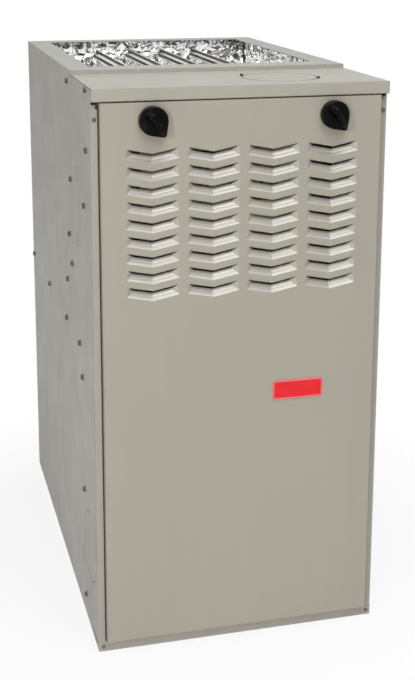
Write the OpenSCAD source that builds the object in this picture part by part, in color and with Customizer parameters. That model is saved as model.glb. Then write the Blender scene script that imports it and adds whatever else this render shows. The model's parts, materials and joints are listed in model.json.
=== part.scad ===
// Upflow forced air gas furnace with a full height louvred door held by two quarter-turn knobs.
// Origin on the floor under the middle of the whole furnace, X to the right, Y to the back, Z up.

/* [Casing] */
// Width of the steel casing
case_w = 445; // [430:5:540]
// Depth of the steel casing
case_d = 724; // [700:4:780]
// Height of the casing at its supply flange
case_h = 876; // [862:2:960]
// Thickness of the casing, door and panel sheet
sheet = 1; // [0.8:0.1:1.4]
// Width of the narrow strip that frames the door on each side
front_strip_w = 10; // [8:0.5:14]
// Width of the relief notch at the top of each front strip
strip_relief = 3; // [2:0.5:4]
// Depth of the rebate that the door sits in
rebate_d = 14; // [12:0.5:18]
// Width of the flange that the door and the blower panel land on
landing_w = 18; // [14:1:22]
// Width of the flange round the supply opening
supply_flange_w = 38; // [25:1:45]
// Width of the flange round the return opening
base_flange_w = 25; // [20:1:32]
// Rise from the front plate to the supply flange
step_h = 6; // [3:0.5:10]
// Height of the plate's front lip
lip_h = 18; // [14:1:26]
// Height of the rail under the door
rail_h = 16; // [12:1:20]
// Distance from the casing front to the heat exchanger panel
vestibule_d = 182; // [178:2:206]
// Height of the shelf between blower and burners
deck_z = 468; // [456:2:480]
// Height of the flanges on the inner panels
panel_flange_h = 22; // [18:1:26]

/* [Knockouts] */
// Diameter of the scored vent disc in the front plate
vent_ko_d = 116; // [80:1:124]
// Vent disc centre, right of the middle
vent_ko_x = 81; // [76:1:92]
// Vent disc centre, behind the casing front
vent_ko_back = 80; // [72:1:90]
// Turn of the vent disc's two tool notches from crosswise
vent_ko_turn = 30; // [0:1:45]
// Diameter of the scored disc low on each side
side_ko_d = 112; // [80:2:116]
// Side disc centre, behind the casing front
side_ko_back = 66; // [64:2:90]
// Side disc centre above the floor
side_ko_z = 144; // [110:2:180]
// Lean of the side disc's two tool notches from upright
side_ko_lean = 21; // [0:1:40]
// Diameter of the wiring knockouts
wire_ko_d = 22; // [18:1:28]
// Width of the scored lines
score_w = 1.5; // [0.6:0.1:1.6]
// Depth of the scored lines
score_depth = 0.5; // [0.3:0.05:0.6]

/* [Door] */
// How far the door face stands in front of the casing
door_proud = 10; // [6:0.5:14]
// Gap round the edge of the door
door_gap = 2; // [1.5:0.25:3]
// Rows of louvres
louvre_rows = 9; // [4:1:9]
// Columns of louvres
louvre_cols = 4; // [2:1:4]
// Spacing of the louvre columns
louvre_pitch_x = 90.5; // [84:0.5:94]
// Spacing of the louvre rows
louvre_pitch_z = 25.3; // [24.5:0.1:27]
// Width of a louvre along its lower edge
louvre_w = 78; // [60:1:80]
// Height of a louvre opening
louvre_h = 14.5; // [10:0.5:15]
// Fall of the chevron from its ends to its middle
louvre_drop = 7.7; // [4:0.1:10]
// How deep the louvre blade is pressed in
louvre_depth = 8; // [5:0.5:10]
// Height of the open slot above the louvre blade
louvre_slot = 5; // [2:0.2:6]
// Draw-in of each sloping end wall at the door face
louvre_draft = 2.4; // [1:0.1:4]
// Distance from the door top to the first louvres
louvre_top_gap = 66.5; // [60:0.5:80]
// Width of the blank nameplate
plate_w = 80; // [60:1:90]
// Height of the blank nameplate
plate_h = 30; // [20:1:36]
// Thickness of the nameplate
plate_t = 1.6; // [1:0.1:3]
// Nameplate centre, right of the middle
plate_x = 88; // [70:1:100]
// Nameplate centre above the floor
plate_zc = 404; // [350:1:420]

/* [Knobs] */
// Diameter of the knob base
knob_d = 42; // [36:1:50]
// How far the knobs stand out of the door
knob_out = 33; // [26:1:40]
// Knob centre in from the door edge
knob_inset = 75; // [60:1:90]
// Knob centre below the door top
knob_drop = 26; // [24:0.5:28]
// Diameter of the knob shaft
knob_shaft_d = 10; // [8:0.5:12]
// Thickness of the knob's grip
grip_w = 13; // [9:0.5:16]

/* [Heat exchanger] */
// Spacing of the four cells
cell_pitch = 63; // [58:1:66]
// Width of one cell
cell_w = 34; // [26:1:38]
// Thickness of the crimped rim and of the cell walls
cell_wall = 1.5; // [1:0.1:2]
// Clearance above the cells to the supply flange
cell_top_gap = 16; // [10:1:30]
// Diameter of the burner ports
port_d = 46; // [36:1:50]
// Thickness of the foil-faced lining
liner_t = 12; // [6:1:16]

/* [Burners] */
// Height of the burner row above the shelf
burner_rise = 70; // [64:1:78]
// Diameter of the burner tubes
burner_d = 26; // [20:1:32]
// Outside diameter of the gas manifold
manifold_d = 21.3; // [17:0.1:27]
// Radius of the gas valve's inlet thread
gas_inlet_r = 9.3; // [7:0.1:10.5]
// Depth of the gas valve's inlet thread
gas_inlet_l = 16; // [12:1:20]

/* [Draft inducer] */
// Radius of the inducer scroll at its cut-off
inducer_r = 62; // [56:1:66]
// Growth of the inducer scroll round its turn
inducer_growth = 16; // [10:1:20]
// Thickness of the inducer scroll along its shaft
inducer_t = 52; // [44:1:56]
// Radius of the inducer wheel
inducer_wheel_r = 50; // [40:1:53]
// Outside diameter of the vent collar
vent_collar_d = 101.6; // [76:0.2:102]
// Height of the vent collar
vent_collar_h = 40; // [30:1:44]

/* [Blower] */
// Radius of the blower wheel
wheel_r = 127; // [110:1:132]
// Width of the blower wheel
wheel_w = 203; // [170:1:230]
// Number of blades in each half of the wheel
blade_count = 36; // [24:1:43]
// Thickness of the blower housing sheet
housing_t = 1.2; // [1:0.1:2]
// Radius of the blower motor
motor_r = 70; // [60:1:76]
// Length of the blower motor
motor_l = 105; // [90:1:115]
// Diameter of the blower shaft
shaft_d = 12.7; // [10:0.1:16]

/* [Filter] */
// Thickness of the air filter
filter_t = 25; // [20:1:30]
// Width of the filter's card frame
filter_frame_w = 14; // [10:1:20]

/* [Fasteners and fits] */
// Diameter of the screw washers
washer_d = 10; // [8:0.5:12]
// Height of the screw heads
screw_head_h = 4; // [3:0.25:5]
// Diameter of the screw shanks
screw_d = 4; // [3:0.1:4.8]
// Diameter of the holes for levelling bolts
level_hole_d = 9; // [7:0.5:10]
// Radial clearance of shafts in their holes
running_fit = 0.08; // [0.03:0.01:0.1]
// Clearance between parts that move past each other
free_gap = 0.4; // [0.3:0.05:0.6]

/* [Hidden] */

$fn = 48;
eps = 0.01;
half_w = case_w / 2;
inner_half = half_w - sheet;
overall_d = case_d + door_proud + knob_out + screw_head_h;
back_y = overall_d / 2 - screw_head_h;
front_y = back_y - case_d;
door_face_y = front_y - door_proud;
landing_y = front_y + rebate_d;
bead_y = front_y + vestibule_d;
plate_z = case_h - step_h;
lip_bottom_z = plate_z - lip_h;
liner_top_z = case_h - sheet;
strip_gap = 5;
keeper_h = 16;
door_half_w = half_w - front_strip_w - door_gap;
door_top_z = lip_bottom_z - door_gap;
door_bottom_z = rail_h + door_gap;
door_back_y = landing_y - 1.5;
knob_x = door_half_w - knob_inset;
knob_z = door_top_z - knob_drop;
landing_inner = half_w - front_strip_w - landing_w;
supply_half = half_w - supply_flange_w;
supply_front_y = bead_y + supply_flange_w + 14;
supply_back_y = back_y - supply_flange_w;

// Side screws as [distance behind the casing front, height], the same on both sides
// Plates on the side walls that carry the wiring box and the pressure switch
controls_back = 30;
controls_d = 142;
controls_h = 108;
controls_z = plate_z - sheet - panel_flange_h - controls_h - 60;
deck_screw_z = deck_z - sheet - panel_flange_h / 2;
brace_back = 110;
lining_screws = [[vestibule_d + 31, plate_z - 13], [vestibule_d + 35, deck_z + 143], [vestibule_d + 65, deck_z + 60]];
panel_side_screws = [for (z = [100, 237]) [vestibule_d + panel_flange_h / 2, deck_z + z]];
side_screws = concat(lining_screws, panel_side_screws, [
    [38, plate_z - 6],
    [controls_back + 10, controls_z + controls_h - 11], [controls_back + 36, controls_z + 10],
    for (f = [0.18, 0.37, 0.66, 0.97]) [f * case_d, deck_screw_z],
    for (z = [37, 220, 407]) [brace_back, z]]);
back_screws = [for (x = [-0.33, 0, 0.33]) [x * case_w, deck_screw_z]];
screw_l = 8;

// Heat exchanger passes, from the burner port up to the flue outlet
cell_front_y = bead_y + sheet;
cell_back_y = back_y - sheet - liner_t - 30;
burner_z = deck_z + burner_rise;
crest_z = case_h - cell_top_gap;
rim_h = 5;
pass_d = [76, 54, 50, 44];
pass_z = [burner_z, burner_z + 96, crest_z - rim_h - 22 - 84, crest_z - rim_h - 22];
function cell_x(i) = (i - 1.5) * cell_pitch;
port_z = pass_z[3];

// Draft inducer
collector_d = 44;
collector_h = 190;
collector_w = 3 * cell_pitch + cell_w + 24;
collector_z = plate_z - sheet - 8 - collector_h;
vent_x = vent_ko_x;
vent_y = front_y + vent_ko_back;
inducer_z = plate_z - 145;
inducer_front_y = vent_y - inducer_t / 2;
inducer_back_y = vent_y + inducer_t / 2;
duct_w = 56;
inducer_x = vent_x - (inducer_r + inducer_growth - duct_w / 2);
collar_top_z = plate_z - sheet - 4;
collar_z = collar_top_z - vent_collar_h;
inducer_shaft_d = 6;
neck_r = 38;

// Gas train
manifold_y = front_y + 48;
manifold_end = 1.5 * cell_pitch + 26;
mouth_y = manifold_y + manifold_d / 2 + 12;
valve_x = -manifold_end - 4;
valve_w = 62;
valve_d = 58;
valve_h = 76;
valve_z = burner_z + manifold_d / 2 + 18;
valve_y = manifold_y - valve_d / 2;
box_half = 1.5 * cell_pitch + 32;
box_front_y = mouth_y + 14;
box_h = 92;
box_z = burner_z - box_h / 2;
saddle_z = burner_z - manifold_d / 2;

// Blower
scroll_r0 = wheel_r + 14;
scroll_growth = 42;
scroll_w = wheel_w + 34;
blower_y = bead_y + 175;
blower_z = deck_z - sheet - scroll_r0 - 40;
inlet_r = wheel_r - 14;
motor_end_x = -18;
hub_r = 20;

brace_depth = 20;
filter_z = 2 * sheet;
rail_leg_top = filter_z + filter_t + 20;
filter_half = inner_half - sheet - 1;
filter_front_y = landing_y + sheet + 30;
filter_back_y = back_y - base_flange_w;

// Door switch
switch_x = inner_half - 52;
switch_z = deck_z + 44;
plunger_r = 3.5;
switch_face_y = landing_y + 12;

// Latch, gas switch, probes and controls
keeper_z = door_top_z - 3;
switch_lever_x = valve_x + 10;
switch_lever_z = valve_z + valve_h * 0.55;
probe_y = bead_y - 9;
igniter_r = 6;
sensor_r = 4.5;
rollout_y = bead_y - 40;
button_r = 3;
limit_x = -165;
limit_z = deck_z + 150;
limit_r = 13;
panel_screw_x = [-150, 150];
glass_x = 84;
glass_z = 250;

// Pressure switch, and the tap on the inducer that its hose goes to
pressure_back = controls_back + 86;
pressure_z = controls_z + 47;
tap_x = inducer_x + inducer_r + inducer_growth + 14;
tap_z = inducer_z - 8;

// Routes of the hose and the held wires: X, distance behind the casing front, height above the shelf
seat_gap = 0.3;
loom_d = 9;
loom_x = -inner_half + 25.5;
loom_back = 60;
loom_top = controls_z - deck_z + 37;
wire_z = box_z + box_h - deck_z + 21;
wire_back = vestibule_d - 9;
hose_start = [inner_half - sheet - 40.5, pressure_back, pressure_z - deck_z];
hose_end = [tap_x + 1, vent_ko_back, tap_z - deck_z];
hose_route = [hose_start, hose_start + [-12, -1, 1], (hose_start + hose_end) / 2 + [0, 4, 2],
    hose_end + [15, 3, 1], hose_end];
loom_route = [[loom_x, 97, loom_top], [loom_x, 80, loom_top - 2], [loom_x, 64, loom_top - 20],
    [loom_x, loom_back, 150], [loom_x, loom_back, 0], [loom_x + 2, 68, -40], [loom_x + 8, 92, -65],
    [loom_x + 10, 100, -80], [loom_x + 10, 100, -93]];
valve_plug = [valve_x - valve_w / 2 - 1.5, 44, 150];
valve_route = [valve_plug, valve_plug + [-12, 2, 6], [loom_x + 14, 53, 150], [loom_x + 5, 58, 142]];
igniter_route = [[cell_x(3), wire_back, wire_z], [cell_x(3) - 2, wire_back - 6, wire_z + 9],
    [66, 150, 136], [36, 112, 121], [-60, 104, 119], [-150, 96, 122], [loom_x + 14, 72, 132],
    [loom_x + 5, 63, 126]];
sensor_route = [[cell_x(0), wire_back, wire_z], [cell_x(0) - 4, wire_back - 7, wire_z + 9],
    [-132, 150, 142], [loom_x + 24, 88, 122], [loom_x + 5, 64, 112]];

// ---------- shared shapes ----------

// Box from its low corner to its high corner
module span(a, b) {
    translate(a) cube(b - a);
}

// Disc along Y, growing towards the back
module disc_y(r, h) {
    rotate([-90, 0, 0]) cylinder(r = r, h = h);
}

// Disc along X
module disc_x(r, h) {
    rotate([0, 90, 0]) cylinder(r = r, h = h);
}

// Both hands of a right-hand shape
module both_sides() {
    children();
    mirror([1, 0, 0]) children();
}

// Flat round-ended bar between two points
module bar(p, q, d) {
    length = norm(q - p);
    translate(p) circle(d = d);
    translate(q) circle(d = d);
    translate(p) rotate(atan2(q[1] - p[1], q[0] - p[0])) translate([0, -d / 2]) square([length, d]);
}

// Rectangle with round corners, centred
module round_rect(w, h, r) {
    square([w - 2 * r, h], center = true);
    square([w, h - 2 * r], center = true);
    for (x = [-1, 1], y = [-1, 1]) translate([x * (w / 2 - r), y * (h / 2 - r)]) circle(r);
}

// Ring groove cut into a face, opening towards +Z
module score_ring(d) {
    translate([0, 0, -score_depth]) difference() {
        cylinder(d = d, h = 1);
        translate([0, 0, -1]) cylinder(d = d - 2 * score_w, h = 3);
    }
}

// Outline of a fan scroll whose duct opens upwards between left and its widest radius
function scroll_points(r0, growth, left, top, inset) =
    let (start = acos((left + inset) / (r0 - inset)), n = 28)
    concat([for (i = [0 : n]) let (a = start + (360 - start) * i / n, r = r0 + growth * i / n - inset)
            [r * cos(a), r * sin(a)]],
        [[r0 + growth - inset, top], [left + inset, top]]);

// Smooth curve through a list of points, with steps points to each leg
function catmull(p, i, t) =
    let (n = len(p) - 1, a = p[max(i - 1, 0)], b = p[i], c = p[i + 1], d = p[min(i + 2, n)])
    0.5 * (2 * b + t * (c - a) + t * t * (2 * a - 5 * b + 4 * c - d)
        + t * t * t * (3 * b - a - 3 * c + d));
function smooth(p, steps) =
    concat([for (i = [0 : len(p) - 2], k = [0 : steps - 1]) catmull(p, i, k / steps)], [p[len(p) - 1]]);
function unit(v) = v / norm(v);
function tangent(p, i) = unit(p[min(i + 1, len(p) - 1)] - p[max(i - 1, 0)]);
// Sideways direction carried along the curve, so the tube doesn't twist
function carried(p, i) = i == 0
    ? let (t = tangent(p, 0), s = abs(t[2]) < 0.9 ? [0, 0, 1] : [1, 0, 0]) unit(cross(t, s))
    : let (t = tangent(p, i), b = carried(p, i - 1)) unit(b - (b * t) * t);

// Tube swept along points
module tube(points, d, sides = 8) {
    n = len(points);
    rings = [for (i = [0 : n - 1]) let (t = tangent(points, i), b = carried(points, i), c = cross(t, b))
        for (k = [0 : sides - 1]) let (a = 360 * k / sides) points[i] + d / 2 * (cos(a) * b + sin(a) * c)];
    walls = [for (i = [0 : n - 2], k = [0 : sides - 1]) let (j = (k + 1) % sides)
        each [[i * sides + k, (i + 1) * sides + k, i * sides + j],
            [i * sides + j, (i + 1) * sides + k, (i + 1) * sides + j]]];
    first = [for (k = [0 : sides - 1]) k];
    last = [for (k = [sides - 1 : -1 : 0]) (n - 1) * sides + k];
    polyhedron(rings, concat(walls, [first, last]));
}

// Screw with a hexagonal washer head, pointing down into the face at z = 0
module hex_screw() {
    cylinder(d = washer_d, h = screw_head_h * 0.3);
    cylinder(d = washer_d * 0.8, h = screw_head_h, $fn = 6);
    translate([0, 0, -screw_l]) cylinder(d = screw_d, h = screw_l + eps);
}

// Places its child on the outside of the right wall at each side screw
module at_side_screws() {
    for (s = side_screws) translate([half_w, front_y + s[0], s[1]]) rotate([0, 90, 0]) children();
}

module at_back_screws() {
    for (s = back_screws) translate([s[0], back_y, s[1]]) rotate([-90, 0, 0]) children();
}

module screw_hole() {
    translate([0, 0, -screw_l - 2]) cylinder(d = screw_d + 0.4, h = screw_l + 4);
}

module side_screw_holes() {
    both_sides() at_side_screws() screw_hole();
}

// ---------- casing ----------

module casing_side() {
    low_top = plate_z - sheet;
    span([inner_half, front_y, 0], [half_w, bead_y + sheet, low_top]);
    span([inner_half, bead_y + sheet, 0], [half_w, back_y, case_h]);
    // strip, rebate and landing that frame the door
    top = lip_bottom_z - strip_gap;
    span([half_w - front_strip_w, front_y, rail_h], [half_w, front_y + sheet, top]);
    span([half_w - front_strip_w, front_y, rail_h], [half_w - front_strip_w + sheet, landing_y + sheet, top]);
    span([landing_inner, landing_y, rail_h], [half_w - front_strip_w + sheet, landing_y + sheet, top]);
    // flanges turned in at the top and at the floor
    span([supply_half, bead_y, case_h - sheet], [half_w, back_y, case_h]);
    span([half_w - base_flange_w, front_y + rebate_d + 12, 0], [half_w, back_y, sheet]);
}

module side_knockouts() {
    translate([half_w, front_y + side_ko_back, side_ko_z]) rotate([0, 90, 0]) {
        score_ring(side_ko_d);
        for (s = [-1, 1]) rotate(side_ko_lean) translate([s * (side_ko_d / 2 - 1.5), 0, 0])
            cube([3, 5, 6], center = true);
    }
    for (z = [controls_z + 45, deck_z + 153, 97])
        translate([half_w, front_y + 138, z]) rotate([0, 90, 0]) score_ring(wire_ko_d);
}

// Corner relief where a front strip meets the lip
module strip_notch() {
    edge = half_w - front_strip_w;
    top = lip_bottom_z - strip_gap;
    span([edge - 1, front_y - 1, top - 2 * strip_relief], [edge + strip_relief, front_y + 6, top + 1]);
}

module level_holes() {
    both_sides() for (y = [landing_y + 12 + base_flange_w / 2, back_y - base_flange_w / 2])
        translate([half_w - base_flange_w / 2, y, -1]) cylinder(d = level_hole_d, h = sheet + 2);
}

module casing_wrap() {
    color("#a9a69d") difference() {
        union() {
            both_sides() casing_side();
            span([-half_w, back_y - sheet, 0], [half_w, back_y, case_h]);
            span([-supply_half, supply_back_y, case_h - sheet], [supply_half, back_y, case_h]);
            span([-half_w, back_y - base_flange_w, 0], [half_w, back_y, sheet]);
        }
        both_sides() side_knockouts();
        both_sides() span([inner_half - sheet, front_y + 11, 6], [half_w + sheet, front_y + 60, 10]);
        both_sides() strip_notch();
        side_screw_holes();
        at_back_screws() screw_hole();
        level_holes();
    }
}

module casing_screws() {
    color("#8d8a82") {
        both_sides() at_side_screws() hex_screw();
        at_back_screws() hex_screw();
    }
}

module plate_dimple() {
    cap = 2;
    dome_r = 13;
    intersection() {
        translate([0, 0, cap - dome_r]) sphere(dome_r);
        translate([-dome_r, -dome_r, -sheet / 2]) cube([2 * dome_r, 2 * dome_r, cap + sheet]);
    }
}

module top_front_plate() {
    skirt_x = inner_half;
    tool_slot = [5, 2.5, 4];
    color("#b3b3ab") difference() {
        union() {
            span([-half_w, door_face_y, plate_z - sheet], [half_w, bead_y + sheet, plate_z]);
            span([-half_w, door_face_y, lip_bottom_z], [half_w, door_face_y + sheet, plate_z]);
            // tabs that close the ends of the lip
            both_sides() span([inner_half, door_face_y, lip_bottom_z], [half_w, front_y - free_gap, plate_z - 3]);
            both_sides() span([skirt_x - sheet, landing_y + sheet, plate_z - sheet - panel_flange_h],
                [skirt_x, bead_y, plate_z]);
            span([-half_w, bead_y, plate_z - sheet], [half_w, bead_y + sheet, case_h - sheet]);
            span([-supply_half, bead_y, case_h - sheet], [supply_half, supply_front_y, case_h]);
            both_sides() translate([half_w - 42, bead_y - 26, plate_z]) plate_dimple();
            // raised nibs beside the vent disc's tool notches
            translate([vent_x, vent_y, plate_z - sheet / 2]) rotate(-vent_ko_turn) for (s = [-1, 1])
                translate([s * (vent_ko_d / 2 + score_w), 0, 0]) cylinder(d = 4.4, h = 3.2);
            // return under the lip that closes the front of the burner compartment
            span([-inner_half, landing_y, lip_bottom_z - strip_gap],
                [inner_half, landing_y + sheet, plate_z]);
            span([-landing_inner, landing_y, lip_bottom_z - keeper_h],
                [landing_inner, landing_y + sheet, plate_z]);
        }
        translate([vent_x, vent_y, plate_z]) {
            score_ring(vent_ko_d);
            rotate(-vent_ko_turn) for (s = [-1, 1])
                translate([s * (vent_ko_d / 2 - 1), 0, 0]) cube(tool_slot, center = true);
        }
        side_screw_holes();
    }
}

module bottom_rail() {
    color("#8f8b82") {
        span([-half_w, front_y - sheet, 0], [half_w, front_y, rail_h]);
        span([-inner_half, front_y - sheet, 0], [inner_half, landing_y + 12, sheet]);
        span([-inner_half, front_y - sheet, rail_h - sheet], [inner_half, landing_y + sheet, rail_h]);
        span([-landing_inner, landing_y, rail_h - sheet], [landing_inner, landing_y + sheet, rail_h + 18]);
    }
}

// Shelf that carries the blower below and the burners above
module blower_deck() {
    flange_z = deck_z - sheet - panel_flange_h;
    color("#9c9b96") difference() {
        union() {
            span([-inner_half, landing_y + sheet, deck_z - sheet], [inner_half, back_y - sheet, deck_z]);
            both_sides() span([inner_half - sheet, landing_y + sheet, flange_z],
                [inner_half, back_y - sheet, deck_z]);
            span([-inner_half, back_y - 2 * sheet, flange_z], [inner_half, back_y - sheet, deck_z]);
            span([-landing_inner, landing_y, flange_z], [landing_inner, landing_y + sheet, deck_z]);
        }
        span([-scroll_w / 2 + housing_t, blower_y + housing_t, deck_z - 2 * sheet],
            [scroll_w / 2 - housing_t, blower_y + scroll_r0 + scroll_growth - housing_t, deck_z + sheet]);
        side_screw_holes();
        at_back_screws() screw_hole();
        for (x = panel_screw_x) translate([x, landing_y, deck_screw_z]) rotate([90, 0, 0]) screw_hole();
        translate([loom_x, front_y + loom_back, deck_z - 2 * sheet]) cylinder(d = loom_d + 2 * seat_gap, h = 4 * sheet);
    }
}

module cell_ports(z, d) {
    for (i = [0 : 3]) translate([cell_x(i), bead_y - sheet, z]) disc_y(d / 2, 3 * sheet);
}

// Wall between the burners and the heat exchanger
module vestibule_panel() {
    top = plate_z - sheet;
    color("#a3a29c") difference() {
        union() {
            span([-inner_half, bead_y, deck_z], [inner_half, bead_y + sheet, top]);
            both_sides() span([inner_half - sheet, bead_y, deck_z],
                [inner_half, bead_y + panel_flange_h, top - panel_flange_h]);
            span([-inner_half, bead_y - panel_flange_h, deck_z], [inner_half, bead_y, deck_z + sheet]);
        }
        cell_ports(burner_z, port_d);
        cell_ports(port_z, pass_d[3] - 8);
        translate([limit_x, bead_y - sheet, limit_z]) disc_y(limit_r - 4, 3 * sheet);
        side_screw_holes();
    }
}

// Upright channels that stiffen the side walls beside the blower
module side_braces() {
    depth = brace_depth;
    low = rail_leg_top + 1;
    high = deck_z - sheet - panel_flange_h - 1;
    color("#9c9b96") difference() {
        both_sides() difference() {
            span([inner_half - depth, front_y + brace_back - 15, low], [inner_half, front_y + brace_back + 15, high]);
            span([inner_half - depth - 1, front_y + brace_back - 15 + sheet, low - 1],
                [inner_half - sheet, front_y + brace_back + 15 - sheet, high + 1]);
        }
        side_screw_holes();
    }
}

module latch_keepers() {
    t = 1.2;
    tongue_y = door_face_y + sheet + 3;
    color("#b9b9b5") both_sides() translate([knob_x, 0, 0]) {
        span([-20, landing_y - t, keeper_z - 6], [20, landing_y, keeper_z + t]);
        span([-20, tongue_y, keeper_z], [20, landing_y, keeper_z + t]);
    }
}

// ---------- heat exchanger ----------

// Path of one cell seen from the side, as Y and Z
module cell_outline(inset, front) {
    turn_back = cell_back_y - 38;
    turn_front = cell_front_y + 45;
    d = [for (x = pass_d) x - 2 * inset];
    intersection() {
        translate([front, 0]) square([case_d, case_h]);
        union() {
            bar([cell_front_y - 40, pass_z[0]], [turn_back, pass_z[0]], d[0]);
            bar([turn_back, pass_z[0]], [turn_back, pass_z[1]], d[1]);
            bar([turn_front, pass_z[1]], [turn_back, pass_z[1]], d[1]);
            bar([turn_front, pass_z[1]], [turn_front, pass_z[2]], d[2]);
            bar([turn_front, pass_z[2]], [turn_back, pass_z[2]], d[2]);
            bar([turn_back, pass_z[2]], [turn_back, pass_z[3]], d[3]);
            bar([cell_front_y - 40, pass_z[3]], [turn_back, pass_z[3]], d[3]);
        }
    }
}

module across_x(t) {
    translate([-t / 2, 0, 0]) rotate([90, 0, 90]) linear_extrude(t) children();
}

module cell_body(inset, front) {
    shoulder = 5;
    across_x(cell_w - 2 * inset) cell_outline(inset + shoulder, front);
    across_x(cell_w - 2 * inset - 2 * shoulder) cell_outline(inset, front);
}

module heat_cell(i) {
    rim_low = pass_z[0] - pass_d[0] / 2 - rim_h;
    color("#c9cacb") translate([cell_x(i), 0, 0]) difference() {
        union() {
            cell_body(0, cell_front_y);
            span([-cell_wall, cell_front_y, rim_low], [cell_wall, cell_back_y + rim_h, crest_z]);
        }
        cell_body(cell_wall, cell_front_y - 1);
    }
}

module heat_cell_1() { heat_cell(0); }
module heat_cell_2() { heat_cell(1); }
module heat_cell_3() { heat_cell(2); }
module heat_cell_4() { heat_cell(3); }

module foil_liner_left() {
    mirror([1, 0, 0]) foil_liner_right();
}

module foil_liner_right() {
    color("#dcdcdc") difference() {
        span([inner_half - liner_t, bead_y + panel_flange_h + 1, deck_z],
            [inner_half, back_y - sheet, liner_top_z]);
        side_screw_holes();
    }
}

module foil_liner_back() {
    color("#dcdcdc") span([-inner_half + liner_t, back_y - sheet - liner_t, deck_z],
        [inner_half - liner_t, back_y - sheet, liner_top_z]);
}

// ---------- draft inducer and vent ----------

module collector_box() {
    flange = 10;
    front = bead_y - collector_d;
    color("#b4b4b0") difference() {
        union() {
            span([-collector_w / 2, front, collector_z], [collector_w / 2, bead_y, collector_z + collector_h]);
            span([-collector_w / 2 - flange, bead_y - sheet, collector_z - flange],
                [collector_w / 2 + flange, bead_y, collector_z + collector_h + 6]);
        }
        span([-collector_w / 2 + sheet, front + sheet, collector_z + sheet],
            [collector_w / 2 - sheet, bead_y + 1, collector_z + collector_h - sheet]);
        translate([inducer_x, front - 1, inducer_z]) disc_y(neck_r - sheet, 3 * sheet);
    }
}

// Places a shape drawn as X and Z, then grown forwards, at the inducer's shaft
module on_inducer(y, t) {
    translate([inducer_x, y + t, inducer_z]) rotate([90, 0, 0]) linear_extrude(t) children();
}

module inducer_housing() {
    duct_left = inducer_r + inducer_growth - duct_w;
    duct_top = collar_z - sheet - inducer_z;
    neck_back = bead_y - collector_d;
    color("#a8a9a8") difference() {
        union() {
            on_inducer(inducer_front_y, inducer_t)
                polygon(scroll_points(inducer_r, inducer_growth, duct_left, duct_top, 0));
            translate([inducer_x, inducer_back_y - eps, inducer_z])
                disc_y(neck_r, neck_back - inducer_back_y + eps);
            translate([inducer_x, neck_back - 1.5, inducer_z]) disc_y(neck_r + 9, 1.5);
            // rolled seam round the middle of the scroll
            on_inducer(vent_y - 1.5, 3)
                polygon(scroll_points(inducer_r + 3, inducer_growth, duct_left, duct_top - 20, 0));
            // pressure tap
            translate([tap_x - 16, vent_y, tap_z]) disc_x(2.5, 16);
        }
        on_inducer(inducer_front_y + sheet, inducer_t - 2 * sheet)
            polygon(scroll_points(inducer_r, inducer_growth, duct_left, duct_top + 1, sheet));
        translate([inducer_x, inducer_back_y - 2 * sheet, inducer_z])
            disc_y(neck_r - sheet, neck_back - inducer_back_y + 4 * sheet);
        translate([inducer_x, inducer_front_y - 1, inducer_z]) disc_y(inducer_shaft_d / 2 + 3, 3);
    }
}

module inducer_wheel() {
    t = inducer_t - 18;
    back = vent_y - t / 2 + t;
    color("#c4c5c6") translate([inducer_x, 0, inducer_z]) {
        translate([0, back - t, 0]) disc_y(inducer_wheel_r, 1.5);
        translate([0, back - 2, 0]) difference() {
            disc_y(inducer_wheel_r, 2);
            translate([0, -1, 0]) disc_y(inducer_wheel_r - 16, 4);
        }
        for (a = [0 : 15 : 345]) rotate([0, a, 0]) translate([inducer_wheel_r - 15, back - t, 0])
            rotate([0, -30, 0]) cube([14, t, 1]);
        translate([0, back - t, 0]) disc_y(9, 16);
        translate([0, front_y + 22, 0]) disc_y(inducer_shaft_d / 2, back - t + 4 - front_y - 22);
    }
}

module inducer_motor() {
    back = inducer_front_y - 10;
    front = front_y + 6;
    stack = 62;
    color("#6d6f72") translate([inducer_x, 0, inducer_z]) difference() {
        union() {
            translate([-stack / 2, front + 10, -stack / 2]) cube([stack, back - front - 14, stack]);
            translate([-19, front + 5, -stack / 2 - 14]) cube([38, back - front - 6, 16]);
            translate([-stack / 2 + 5, front + 5, -9]) cube([stack - 10, back - front - 5, 18]);
            translate([0, front, 0]) disc_y(11, back - front);
            for (x = [-1, 1], z = [-1, 1]) translate([x * 25, front + 6, z * 25])
                disc_y(3, inducer_front_y - front - 6);
        }
        translate([0, front - 1, 0]) disc_y(inducer_shaft_d / 2 + running_fit, back - front + 2);
    }
}

module vent_collar() {
    r = vent_collar_d / 2;
    base = collar_z - sheet;
    hole_w = duct_w - 2 * sheet;
    hole_d = inducer_t - 2 * sheet;
    color("#b9bab9") difference() {
        union() {
            translate([vent_x, vent_y, base]) linear_extrude(sheet) round_rect(2 * r + 8, 2 * r + 8, 8);
            translate([vent_x, vent_y, base]) cylinder(r = r, h = vent_collar_h + sheet, $fn = 96);
        }
        translate([vent_x, vent_y, base + sheet]) cylinder(r = r - sheet, h = vent_collar_h + 1, $fn = 96);
        translate([vent_x - hole_w / 2, vent_y - hole_d / 2, base - 1]) cube([hole_w, hole_d, 4]);
    }
}

// ---------- burners and gas train ----------

module burner() {
    l = bead_y - 16 - mouth_y;
    r = burner_d / 2;
    t = 1.2;
    outer = [[r + 4, 0], [r + 3, 2], [r - 4, 16], [r - 4, 34], [r, 58], [r, l]];
    inner = [for (i = [len(outer) - 1 : -1 : 0]) [outer[i][0] - t, outer[i][1]]];
    rotate([-90, 0, 0]) rotate_extrude() polygon(concat(outer, inner));
}

module burners() {
    l = bead_y - 16 - mouth_y;
    r = burner_d / 2;
    color("#b8b9ba") {
        for (i = [0 : 3]) translate([cell_x(i), mouth_y, burner_z]) burner();
        // carry-over wings between the burner heads
        for (i = [0 : 2]) translate([cell_x(i) + r - 0.6, mouth_y + l - 12, burner_z - 1.5])
            cube([cell_pitch - 2 * r + 1.2, 10, 3]);
    }
}

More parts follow.
